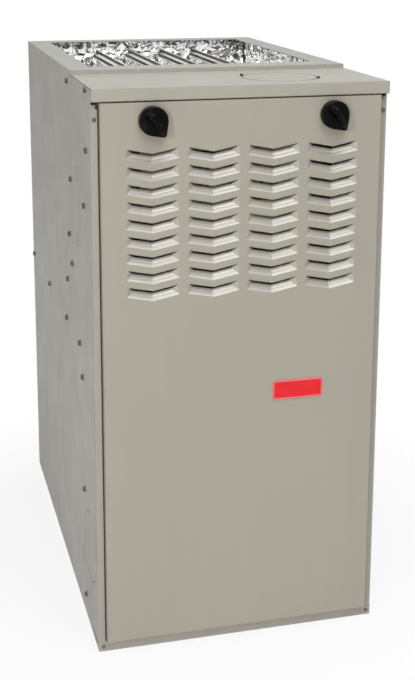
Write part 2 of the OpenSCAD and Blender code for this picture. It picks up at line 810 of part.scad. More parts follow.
module burner_box() {
    strap_y = mouth_y + 68;
    color("#a3a29c") difference() {
        union() {
            difference() {
                span([-box_half, box_front_y, box_z], [box_half, bead_y - sheet, box_z + box_h]);
                span([-box_half + sheet, box_front_y - 1, box_z + sheet],
                    [box_half - sheet, bead_y, box_z + box_h - sheet]);
            }
            difference() {
                span([-box_half - 8, bead_y - sheet, box_z - 8], [box_half + 8, bead_y, box_z + box_h + 8]);
                span([-box_half + sheet, bead_y - 2, box_z + sheet],
                    [box_half - sheet, bead_y + 1, box_z + box_h - sheet]);
            }
            span([-box_half, strap_y, burner_z - 22], [box_half, strap_y + sheet, burner_z + 22]);
            // two saddles that carry the manifold
            for (x = [-cell_pitch, cell_pitch]) {
                span([x - 1, manifold_y - 7, box_z], [x + 1, box_front_y + 4, saddle_z]);
                span([x - 9, manifold_y - 7, saddle_z - 2], [x + 9, manifold_y + 7, saddle_z]);
            }
        }
        for (i = [0 : 3]) translate([cell_x(i), strap_y - 1, burner_z]) disc_y(burner_d / 2 + 0.2, 3 * sheet);
        translate([cell_x(3), probe_y, box_z + box_h / 2]) cylinder(r = igniter_r + 0.3, h = box_h);
        translate([cell_x(0), probe_y, box_z + box_h / 2]) cylinder(r = sensor_r + 0.3, h = box_h);
    }
}

module gas_manifold() {
    r = manifold_d / 2;
    color("#5c5e60") {
        translate([valve_x, manifold_y, burner_z]) disc_x(r, manifold_end - valve_x);
        translate([manifold_end - 8, manifold_y, burner_z]) disc_x(r + 3, 12);
        translate([valve_x, manifold_y, burner_z]) sphere(r + 4);
        translate([valve_x, manifold_y, burner_z]) cylinder(r = r, h = valve_z - burner_z);
        translate([valve_x, manifold_y, burner_z + 8]) cylinder(r = r + 4, h = 8);
        for (i = [0 : 3]) translate([cell_x(i), manifold_y, burner_z]) disc_y(8, r + 2);
    }
}

module gas_orifices() {
    start = manifold_y + manifold_d / 2 + 2;
    color("#c2a14d") for (i = [0 : 3]) translate([cell_x(i), start, burner_z]) difference() {
        union() {
            rotate([-90, 0, 0]) cylinder(r = 6, h = 6, $fn = 6);
            disc_y(3.5, 9);
        }
        translate([0, 5, 0]) disc_y(0.9, 5);
    }
}

module gas_valve() {
    boss_x = valve_x - 12;
    top = valve_z + valve_h;
    color("#9fa1a2") difference() {
        union() {
            translate([valve_x, manifold_y, valve_z]) linear_extrude(valve_h)
                round_rect(valve_w, valve_d, 6);
            translate([valve_x, valve_y, valve_z + 12]) rotate([90, 0, 0])
                linear_extrude(3) translate([0, valve_h / 2 - 12]) round_rect(valve_w - 8, valve_h - 20, 5);
            translate([boss_x, manifold_y, top]) cylinder(r = gas_inlet_r + 5, h = gas_inlet_l);
            translate([valve_x + 19, manifold_y + 10, top]) cylinder(r = 9, h = 14);
            translate([valve_x + valve_w / 2, manifold_y, valve_z + valve_h * 0.5]) disc_x(12, 8);
        }
        translate([boss_x, manifold_y, top]) cylinder(r = gas_inlet_r, h = gas_inlet_l + 1);
        translate([switch_lever_x, valve_y - 4, switch_lever_z]) disc_y(4 + running_fit, 9);
    }
}

// Paddle that turns the gas on and off
module gas_valve_switch() {
    face = valve_y - 3 - free_gap;
    color("#24262a") translate([switch_lever_x, 0, switch_lever_z]) {
        translate([0, face - 5, 0]) disc_y(10, 5);
        translate([-3, face - 14, -12]) cube([6, 10, 24]);
        translate([0, face - 1, 0]) disc_y(4, 7);
    }
}

module igniter() {
    top = box_z + box_h;
    color("#e6e0d4") translate([cell_x(3), probe_y, 0]) {
        translate([0, 0, top - 14]) cylinder(r = igniter_r, h = 34);
        translate([0, 0, burner_z + 6]) cylinder(r = 2.2, h = top - 8 - burner_z);
        translate([-14, -9, top]) cube([28, 16, 2]);
    }
}

module flame_sensor() {
    top = box_z + box_h;
    color("#e6e0d4") translate([cell_x(0), probe_y, 0]) {
        translate([0, 0, top - 10]) cylinder(r = sensor_r, h = 30);
        translate([0, 0, burner_z + 4]) cylinder(r = 1.4, h = top - 8 - burner_z);
        translate([-12, -8, top]) cube([24, 14, 2]);
    }
}

module rollout_switch() {
    base = box_z + box_h;
    color("#2b2c2e") translate([0, rollout_y, base]) difference() {
        union() {
            linear_extrude(1.5) round_rect(38, 18, 3);
            cylinder(r = 11, h = 12);
            for (x = [-1, 1]) translate([x * 7 - 0.5, 4, 10]) cube([1, 5, 10]);
        }
        translate([0, -3, 6]) cylinder(r = button_r + running_fit + 0.1, h = 8);
    }
}

module rollout_button() {
    base = box_z + box_h;
    color("#b5272a") translate([0, rollout_y - 3, base + 8.5]) {
        cylinder(r = button_r, h = 8);
        translate([0, 0, 5.5]) cylinder(r = button_r + 1.2, h = 2.5);
    }
}

// ---------- controls ----------

// Sheet plate that lies on the right wall beside the burners
module wall_plate() {
    span([inner_half - sheet, front_y + controls_back, controls_z],
        [inner_half, front_y + controls_back + controls_d, controls_z + controls_h]);
}

module junction_box() {
    body_x = inner_half - sheet - 42;
    box_y = front_y + controls_back + 68;
    depth = 72;
    low = controls_z + 3;
    high = controls_z + 89;
    color("#9a9b9c") difference() {
        mirror([1, 0, 0]) {
            wall_plate();
            difference() {
                span([body_x, box_y, low], [inner_half - sheet, box_y + depth, high]);
                span([body_x + sheet, box_y + sheet, low + sheet],
                    [inner_half, box_y + depth - sheet, high - sheet]);
            }
            span([body_x - sheet, box_y - 1, low - 1], [body_x, box_y + depth + 1, high + 1]);
            translate([body_x - sheet - 2, box_y + 6, (low + high) / 2]) disc_x(4, 2);
        }
        side_screw_holes();
    }
}

module switch_bracket() {
    color("#9a9b9c") difference() {
        wall_plate();
        side_screw_holes();
    }
}

module pressure_switch() {
    color("#3a3c40") translate([inner_half - sheet - 28, front_y + pressure_back, pressure_z]) {
        disc_x(34, 20);
        translate([8, 0, 0]) disc_x(38, 5);
        translate([20, 0, 0]) disc_x(14, 8);
        translate([-12, 0, 0]) disc_x(2.5, 13);
        translate([-9, -14, 12]) cube([10, 10, 14]);
    }
}

// Hose or wire held along a route
module held(route, d, steps) {
    translate([0, front_y, deck_z]) tube(smooth(route, steps), d);
}

module pressure_hose() {
    color("#2a2a2a") held(hose_route, 7, 3);
}

module limit_switch() {
    color("#2b2c2e") translate([limit_x, 0, limit_z]) {
        translate([0, bead_y - 12, 0]) disc_y(limit_r, 12);
        translate([0, bead_y - 2, 0]) disc_y(limit_r + 4, 2);
        translate([0, bead_y - 3, 0]) disc_y(3.5, 80);
    }
}

module door_switch() {
    back = switch_face_y + 32;
    color("#e8e4da") difference() {
        union() {
            span([switch_x - 14, switch_face_y, switch_z - 10], [switch_x + 14, back, switch_z + 10]);
            span([switch_x - 17, switch_face_y + 6, switch_z - 12], [switch_x + 17, switch_face_y + 8, switch_z + 12]);
        }
        translate([switch_x, switch_face_y - 1, switch_z]) disc_y(plunger_r + running_fit, 16);
    }
    color("#9a9b9c") {
        span([switch_x - 20, switch_face_y + 8, switch_z - 12], [switch_x - 14, switch_face_y + 9.2, switch_z + 12]);
        span([switch_x - 20, switch_face_y + 8, deck_z], [switch_x + 20, switch_face_y + 9.2, switch_z - 10]);
        span([switch_x - 20, switch_face_y + 8, deck_z], [switch_x + 20, back, deck_z + 1.2]);
    }
}

module door_switch_plunger() {
    tip = door_face_y + sheet + free_gap;
    color("#d9d5c8") translate([switch_x, tip, switch_z]) {
        disc_y(plunger_r, switch_face_y + 12 - tip);
        disc_y(plunger_r + 1.5, 2);
    }
}

// ---------- blower compartment ----------

module blower_panel() {
    half = landing_inner + 8;
    low = rail_h + 8;
    high = deck_z + 14;
    color("#a9a7a0") difference() {
        union() {
            span([-half, landing_y - sheet, low], [half, landing_y, high]);
            // pressed stiffening ribs
            for (z = [low + 60, high - 70]) span([-half + 30, landing_y - sheet - 2, z], [half - 30, landing_y - sheet, z + 8]);
        }
        translate([glass_x, landing_y - sheet - 1, glass_z]) disc_y(9, sheet + 2);
        for (x = panel_screw_x) translate([x, landing_y, deck_screw_z]) rotate([90, 0, 0]) screw_hole();
    }
}

module panel_screws() {
    color("#8d8a82") for (x = panel_screw_x)
        translate([x, landing_y - sheet, deck_screw_z]) rotate([90, 0, 0]) hex_screw();
}

module sight_glass() {
    color("#b8c6c4") translate([glass_x, landing_y - sheet - 2, glass_z]) {
        disc_y(13, 2);
        disc_y(8.7, sheet + 3);
    }
}

// Turns a shape drawn as Y and Z about the blower shaft
module on_blower(x, t) {
    translate([x, blower_y, blower_z]) rotate([90, 0, 90]) linear_extrude(t) children();
}

module blower_housing() {
    top = deck_z - sheet - blower_z;
    half = scroll_w / 2;
    out = scroll_r0 + scroll_growth;
    flange = 10;
    color("#b2b4b4") difference() {
        union() {
            on_blower(-half, scroll_w) polygon(scroll_points(scroll_r0, scroll_growth, 0, top, 0));
            span([-half - flange, blower_y - flange, deck_z - sheet - housing_t],
                [half + flange, blower_y + out + flange, deck_z - sheet]);
            for (s = [-1, 1]) translate([s * (half + 1.5) - 1.5, blower_y, blower_z]) disc_x(inlet_r + 6, 3);
        }
        on_blower(-half + housing_t, scroll_w - 2 * housing_t)
            polygon(scroll_points(scroll_r0, scroll_growth, 0, top + 1, housing_t));
        translate([-half - 5, blower_y, blower_z]) disc_x(inlet_r, scroll_w + 10);
    }
}

module blower_wheel() {
    depth = 15;
    color("#9fa3a6") translate([0, blower_y, blower_z]) difference() {
        union() {
            for (s = [-1, 1]) translate([s * (wheel_w / 2 - 1.5) - 1.5, 0, 0]) difference() {
                disc_x(wheel_r, 3);
                translate([-1, 0, 0]) disc_x(wheel_r - depth + 2, 5);
            }
            translate([-1, 0, 0]) disc_x(wheel_r - 1, 2);
            translate([-10, 0, 0]) disc_x(hub_r, 38);
            for (k = [0 : blade_count - 1]) rotate([k * 360 / blade_count, 0, 0])
                translate([-wheel_w / 2 + 1, 0, wheel_r - depth]) rotate([-32, 0, 0])
                translate([0, -0.5, 0]) cube([wheel_w - 2, 1, depth]);
        }
        translate([-20, 0, 0]) disc_x(shaft_d / 2 + 0.02, 60);
    }
}

module blower_shaft() {
    color("#d0d2d4") translate([motor_end_x - 28, blower_y, blower_z]) disc_x(shaft_d / 2, 62 - motor_end_x);
}

module blower_motor() {
    color("#4c4f55") translate([motor_end_x - motor_l, blower_y, blower_z]) difference() {
        union() {
            disc_x(motor_r - 8, motor_l);
            translate([8, 0, 0]) disc_x(motor_r, motor_l - 16);
            translate([-5, 0, 0]) disc_x(16, motor_l + 9);
        }
        translate([motor_l - 30, 0, 0]) disc_x(shaft_d / 2 + running_fit, 40);
    }
}

module motor_mount() {
    half = scroll_w / 2;
    arm_x = -half - 6;
    band = 1.5;
    reach = inlet_r + 12;
    color("#85888b") translate([0, blower_y, blower_z]) {
        difference() {
            translate([arm_x, 0, 0]) disc_x(motor_r + band, 24);
            translate([arm_x - 1, 0, 0]) disc_x(motor_r + 0.05, 26);
        }
        for (a = [30, 150, 270]) rotate([a, 0, 0])
            translate([arm_x, -10, motor_r + band - 0.3]) cube([3, 20, reach - motor_r - band + 0.3]);
    }
}

module motor_capacitor() {
    x = inner_half - brace_depth - 26;
    color("#c7c9ca") translate([x, front_y + brace_back, 250]) {
        cylinder(r = 23, h = 74);
        for (s = [-1, 1]) translate([s * 7 - 3, -0.5, 74]) cube([6, 1, 9]);
    }
    color("#8f9294") translate([x, front_y + brace_back, 280]) difference() {
        union() {
            cylinder(r = 24.4, h = 16);
            translate([20, -18, 0]) cube([6, 36, 16]);
        }
        translate([0, 0, -1]) cylinder(r = 23.05, h = 18);
    }
}

module control_board() {
    wall = -inner_half + brace_depth;
    y0 = front_y + 70;
    z0 = deck_z - 266;
    color("#a3a29c") span([wall, y0, z0 - 90], [wall + 1.2, y0 + 132, z0 + 186]);
    color("#2f6a44") {
        span([wall + 8, y0 + 8, z0], [wall + 9.6, y0 + 124, z0 + 176]);
        for (y = [y0 + 14, y0 + 112], z = [z0 + 8, z0 + 162]) span([wall + 1.2, y, z], [wall + 8, y + 6, z + 6]);
    }
    color("#20242a") {
        for (k = [0 : 3]) span([wall + 9.6, y0 + 16 + k * 26, z0 + 120], [wall + 27, y0 + 36 + k * 26, z0 + 150]);
        span([wall + 9.6, y0 + 30, z0 + 60], [wall + 13, y0 + 50, z0 + 80]);
        span([wall + 9.6, y0 + 14, z0 + 6], [wall + 20, y0 + 116, z0 + 20]);
        span([wall + 9.6, y0 + 18, z0 + 156], [wall + 24, y0 + 46, z0 + 172]);
    }
}

module transformer() {
    wall = -inner_half + brace_depth + 1.2;
    y0 = front_y + 98;
    z0 = deck_z - 346;
    color("#3c3f44") {
        span([wall, y0, z0], [wall + 48, y0 + 62, z0 + 52]);
        span([wall, y0 - 12, z0 + 2], [wall + 2, y0 + 74, z0 + 50]);
    }
    color("#b8742e") span([wall + 8, y0 + 10, z0 + 52], [wall + 42, y0 + 52, z0 + 60]);
}

module filter_frame() {
    color("#c9b792") difference() {
        span([-filter_half, filter_front_y, filter_z], [filter_half, filter_back_y, filter_z + filter_t]);
        span([-filter_half + filter_frame_w, filter_front_y + filter_frame_w, filter_z - 1],
            [filter_half - filter_frame_w, filter_back_y - filter_frame_w, filter_z + filter_t + 1]);
    }
}

module filter_media() {
    w = filter_half - filter_frame_w;
    color("#d8dde0") span([-w, filter_front_y + filter_frame_w, filter_z + 3],
        [w, filter_back_y - filter_frame_w, filter_z + filter_t - 3]);
}

// Angles on the side walls that the filter slides in on
module filter_rails() {
    color("#9c9b96") difference() {
        both_sides() {
            span([inner_half - sheet, landing_y + 14, sheet], [inner_half, back_y - sheet, rail_leg_top]);
            span([filter_half - 12, landing_y + 14, sheet], [inner_half, back_y - sheet, 2 * sheet]);
        }
        side_screw_holes();
        level_holes();
    }
}

module wiring_harness() {
    color("#a33a34") held(loom_route, loom_d, 3);
    color("#3d5f8f") held(valve_route, 5, 2);
    color("#d0c24a") held(igniter_route, 4, 3);
    color("#e0ddd2") held(sensor_route, 4, 2);
}

// ---------- door ----------

// Solid pressed in behind one louvre, grown by t for its outer skin. The blade rises steeply from
// the opening's lower edge, bends at its knee and ends below the opening's upper edge
module louvre_form(t, rise) {
    half = louvre_w / 2 + t;
    depth = louvre_depth + t;
    slope = louvre_drop / (louvre_w / 2);
    profile = [[half - louvre_draft, 0, rise],
        [half, 0, -louvre_h - t],
        [half - 2.2 * louvre_draft, depth * 0.55, -louvre_h * 0.7 - t],
        [half - 4.2 * louvre_draft, depth, rise - louvre_slot]];
    points = [for (s = [-1 : 1], p = profile)
        [s * p[0], p[1], p[2] - louvre_drop + slope * abs(s) * p[0]]];
    strips = [for (s = [0, 4], j = [0 : 3]) let (k = (j + 1) % 4) [s + j, s + 4 + j, s + 4 + k, s + k]];
    polyhedron(points, concat(strips, [[0, 1, 2], [0, 2, 3], [8, 10, 9], [8, 11, 10]]));
}

module at_louvres() {
    for (c = [0 : louvre_cols - 1], r = [0 : louvre_rows - 1])
        translate([(c - (louvre_cols - 1) / 2) * louvre_pitch_x, door_face_y,
            door_top_z - louvre_top_gap - r * louvre_pitch_z]) children();
}

module door_panel() {
    color("#c4beb2") difference() {
        union() {
            difference() {
                union() {
                    span([-door_half_w, door_face_y, door_bottom_z], [door_half_w, door_face_y + sheet, door_top_z]);
                    at_louvres() louvre_form(sheet, 0);
                }
                at_louvres() louvre_form(0, 0.6);
            }
            difference() {
                span([-door_half_w, door_face_y, door_bottom_z], [door_half_w, door_back_y, door_top_z]);
                span([-door_half_w + sheet, door_face_y - 1, door_bottom_z + sheet],
                    [door_half_w - sheet, door_back_y + 1, door_top_z - sheet]);
            }
        }
        both_sides() translate([knob_x, door_face_y - 1, knob_z])
            disc_y(knob_shaft_d / 2 + running_fit, sheet + 2);
    }
}

// Blank plate with a raised rim
module nameplate() {
    color("#8e2f2c") translate([plate_x, door_face_y, plate_zc]) rotate([90, 0, 0]) difference() {
        linear_extrude(plate_t) round_rect(plate_w, plate_h, 5);
        translate([0, 0, plate_t - 0.5]) linear_extrude(1) round_rect(plate_w - 5, plate_h - 5, 3.5);
    }
}

// Round knob with one square corner and a wing grip that points to it, its face towards -Y
module knob() {
    base_h = 12;
    r = knob_d / 2;
    corner = r * sqrt(2) - 2;
    flank = r * sin(45);
    grip_h = knob_out - free_gap;
    color("#1c1c1e") translate([0, door_face_y - free_gap, knob_z]) rotate([90, 0, 0]) {
        rotate_extrude($fn = 96) polygon([[0, 0], [r - 0.6, 0], [r, 0.6], [r, base_h - 1.5],
            [r - 1.5, base_h], [r * 0.6, base_h + 2], [0, base_h + 3]]);
        rotate(-54) {
            linear_extrude(base_h - 1)
                polygon([[0, 0], [flank, -flank], [corner, -2], [corner, 2], [flank, flank]]);
            hull() {
                translate([9 - r, 0, 0]) cylinder(d = grip_w, h = base_h, $fn = 32);
                translate([10 - r, 0, 0]) cylinder(d = grip_w - 4, h = grip_h - 4, $fn = 32);
                translate([12 - r, 0, 0]) cylinder(d = grip_w - 6, h = grip_h, $fn = 32);
                translate([r - 8, 0, 0]) cylinder(d = grip_w - 5, h = grip_h - 9, $fn = 32);
                translate([corner - 2.5, 0, 0]) cylinder(d = 4, h = base_h + 2, $fn = 32);
            }
        }
    }
}

// Shaft through the door and the lobe that wedges under the keeper
module knob_cam() {
    start = door_face_y - free_gap;
    lobe_y = door_face_y + sheet + 1;
    lobe_top = keeper_z - free_gap;
    color("#b9b9b5") translate([0, 0, knob_z]) {
        translate([0, start, 0]) disc_y(knob_shaft_d / 2, lobe_y + 6 - start);
        translate([0, lobe_y, 0]) disc_y(9, 3);
        intersection() {
            translate([-6, lobe_y, 0]) cube([12, 3, lobe_top]);
            translate([0, lobe_y - 1, 0]) disc_y(lobe_top - knob_z, 5);
        }
    }
}

module knob_left() {
    translate([-knob_x, 0, 0]) knob();
}

module knob_left_cam() {
    translate([-knob_x, 0, 0]) knob_cam();
}

module knob_right() {
    translate([knob_x, 0, 0]) knob();
}

module knob_right_cam() {
    translate([knob_x, 0, 0]) knob_cam();
}

casing_wrap();
top_front_plate();
bottom_rail();
blower_deck();
vestibule_panel();
side_braces();
casing_screws();
foil_liner_left();
foil_liner_right();
foil_liner_back();
heat_cell_1();
heat_cell_2();
heat_cell_3();
heat_cell_4();
collector_box();
inducer_housing();
inducer_motor();
inducer_wheel();
vent_collar();
burner_box();
burners();
gas_manifold();
gas_orifices();
gas_valve();
gas_valve_switch();
igniter();
flame_sensor();
rollout_switch();
rollout_button();
pressure_switch();
pressure_hose();
limit_switch();
junction_box();
switch_bracket();
door_switch();
door_switch_plunger();
blower_panel();
panel_screws();
sight_glass();
blower_housing();
blower_wheel();
blower_shaft();
blower_motor();
motor_mount();
motor_capacitor();
control_board();
transformer();
filter_frame();
filter_media();
filter_rails();
wiring_harness();
latch_keepers();
door_panel();
nameplate();
knob_left();
knob_left_cam();
knob_right();
knob_right_cam();
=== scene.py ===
"""Looks of the furnace: finishes, detail pieces, floor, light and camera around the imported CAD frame."""

import json
import logging
import math
from collections.abc import Callable, Sequence
from dataclasses import dataclass, field, replace
from enum import Enum

import bmesh
import bpy
from mathutils import Matrix, Vector, noise

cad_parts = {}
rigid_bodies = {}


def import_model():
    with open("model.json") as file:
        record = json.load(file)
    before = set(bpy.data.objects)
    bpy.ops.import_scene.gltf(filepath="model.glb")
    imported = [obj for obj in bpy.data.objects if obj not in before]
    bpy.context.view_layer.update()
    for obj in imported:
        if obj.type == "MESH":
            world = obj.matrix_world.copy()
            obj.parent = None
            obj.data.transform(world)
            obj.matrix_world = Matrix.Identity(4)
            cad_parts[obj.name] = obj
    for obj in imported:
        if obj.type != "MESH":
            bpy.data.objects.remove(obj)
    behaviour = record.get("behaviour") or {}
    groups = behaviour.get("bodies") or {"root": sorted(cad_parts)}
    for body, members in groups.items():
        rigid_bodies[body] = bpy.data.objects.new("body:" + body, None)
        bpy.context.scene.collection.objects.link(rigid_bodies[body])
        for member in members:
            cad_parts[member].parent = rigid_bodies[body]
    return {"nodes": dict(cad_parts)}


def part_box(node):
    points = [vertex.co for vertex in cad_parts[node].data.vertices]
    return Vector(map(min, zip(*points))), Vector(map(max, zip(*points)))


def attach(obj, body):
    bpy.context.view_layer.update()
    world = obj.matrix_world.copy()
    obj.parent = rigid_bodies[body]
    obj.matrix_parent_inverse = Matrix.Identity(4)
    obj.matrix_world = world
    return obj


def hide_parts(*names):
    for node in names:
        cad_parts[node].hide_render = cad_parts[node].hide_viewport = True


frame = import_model()
log = logging.getLogger("furnace")

MM = 0.001
FRONT = (0, -1, 0)
RIGHT = (1, 0, 0)
WHITE = (1.0, 1.0, 1.0, 1.0)
FULL_TURN = 6.2832
# A face looks along an axis where its normal's part along it is above this
SQUARE_ON = 0.9
Point = tuple[float, float, float]
Profile = Sequence[tuple[float, float]]
Mesh = bmesh.types.BMesh
Socket = bpy.types.NodeSocket
# Tells whether a face belongs to a part of a node, from how far its middle lies past the node's lowest
# corner and short of the highest one, in millimetres, and from its normal
Zone = Callable[[Vector, Vector, Vector], bool]


def linear(hex_colour: str) -> tuple[float, float, float, float]:
    """Turn a screen colour into the linear colour that shaders take.

    Args:
        hex_colour: the colour as six hexadecimal digits after a #.

    Returns:
        Red, green, blue and an alpha of 1.
    """
    values = [int(hex_colour[i:i + 2], 16) / 255 for i in (1, 3, 5)]
    spread = [v / 12.92 if v <= 0.04045 else ((v + 0.055) / 1.055) ** 2.4 for v in values]
    return (spread[0], spread[1], spread[2], 1.0)


# ---------- node trees ----------

class Board:
    """Lays out the nodes of one tree in few words."""

    def __init__(self, tree: bpy.types.NodeTree) -> None:
        """Keep the tree that is worked on."""
        self.tree = tree

    def add(self, kind: str, inputs: dict | None = None, **settings: object) -> bpy.types.Node:
        """Add a node.

        Args:
            kind: the node's type without its ShaderNode beginning.
            inputs: values or sockets for its inputs, by name or by number.
            settings: its own settings.

        Returns:
            The new node.
        """
        node = self.tree.nodes.new("ShaderNode" + kind)
        for name, value in settings.items():
            setattr(node, name, value)
        for name, value in (inputs or {}).items():
            self.feed(node.inputs[name], value)
        return node

    def feed(self, socket: Socket, value: object) -> None:
        """Feed an input.

        Args:
            socket: the input.
            value: a socket to link into it, or a plain value.
        """
        if isinstance(value, Socket):
            self.tree.links.new(value, socket)
        else:
            socket.default_value = value

    def math(self, operation: str, *values: object, clamp: bool = False) -> Socket:
        """Add a Math node and return its result."""
        return self.add("Math", dict(enumerate(values)), operation=operation, use_clamp=clamp).outputs[0]

    def times(self, first: object, second: object) -> Socket:
        """Multiply two values."""
        return self.math("MULTIPLY", first, second)

    def plus(self, first: object, second: object) -> Socket:
        """Add two values."""
        return self.math("ADD", first, second)

    def span(self, value: object, low: float, high: float, to_low: float = 0.0,
             to_high: float = 1.0) -> Socket:
        """Map the range low to high onto to_low to to_high, and stay within it."""
        inputs = (value, low, high, to_low, to_high)
        return self.add("MapRange", dict(enumerate(inputs)), clamp=True).outputs[0]

    def mix(self, share: object, first: object, second: object, way: str = "MIX") -> Socket:
        """Mix two colours by a share."""
        return self.add("Mix", {0: share, 6: first, 7: second}, data_type="RGBA", blend_type=way).outputs[2]

    def scale_colour(self, colour: object, tone: object) -> Socket:
        """Multiply a colour by a tone near 1."""
        grey = self.add("CombineColor", {0: tone, 1: tone, 2: tone}).outputs[0]
        return self.mix(1.0, colour, grey, "MULTIPLY")

    def place(self, stretch: Point | None = None) -> Socket:
        """Give the object's own coordinates, plain or stretched by a factor for each axis."""
        where = self.add("TexCoord").outputs["Object"]
        return self.add("Mapping", {"Vector": where, "Scale": stretch}).outputs[0] if stretch else where

    def along(self, axis: int, of: Socket | None = None) -> Socket:
        """Give one coordinate of a vector, or else of the object's own place."""
        return self.add("SeparateXYZ", {0: of or self.place()}).outputs[axis]

    def noise(self, scale: object, detail: float = 2.0, rough: float = 0.5, distortion: float = 0.0,
              where: Socket | None = None) -> Socket:
        """Give the value of a noise texture over a place, or else over the object's own."""
        return self.add("TexNoise", {"Vector": where or self.place(), "Scale": scale, "Detail": detail,
                                     "Roughness": rough, "Distortion": distortion}).outputs[0]

    def cells(self, scale: object, where: Socket | None = None, feature: str = "F1") -> Sequence[Socket]:
        """Give the outputs of a cell texture over a place, or else over the object's own."""
        inputs = {"Vector": where or self.place(), "Scale": scale}
        return self.add("TexVoronoi", inputs, feature=feature).outputs


class Effect(Enum):
    """Surface effects that several finishes share, each one node group."""

    EDGES = "rounded_edges"
    SKIN = "rolled_paint_skin"
    FLAKES = "zinc_flakes"
    CRINKLE = "foil_crinkle"
    HANDLING = "dust_and_smudges"
    PORES = "cast_pores"
    LAYERS = "stacked_layers"

    def use(self, board: Board, **values: object) -> bpy.types.Node:
        """Place the effect's group in a material.

        Args:
            board: the material's tree.
            values: the group's inputs, by name in lower case.

        Returns:
            The group node.
        """
        group = bpy.data.node_groups.get(self.value) or self.build()
        node = board.add("Group", node_tree=group)
        for name, value in values.items():
            board.feed(node.inputs[name.capitalize()], value)
        return node

    def build(self) -> bpy.types.NodeTree:
        """Build the effect's node group once, with the board's method of the same name.

        Returns:
            The node group.
        """
        group = bpy.data.node_groups.new(self.value, "ShaderNodeTree")
        getattr(GroupBoard(group), self.name.lower())()
        return group


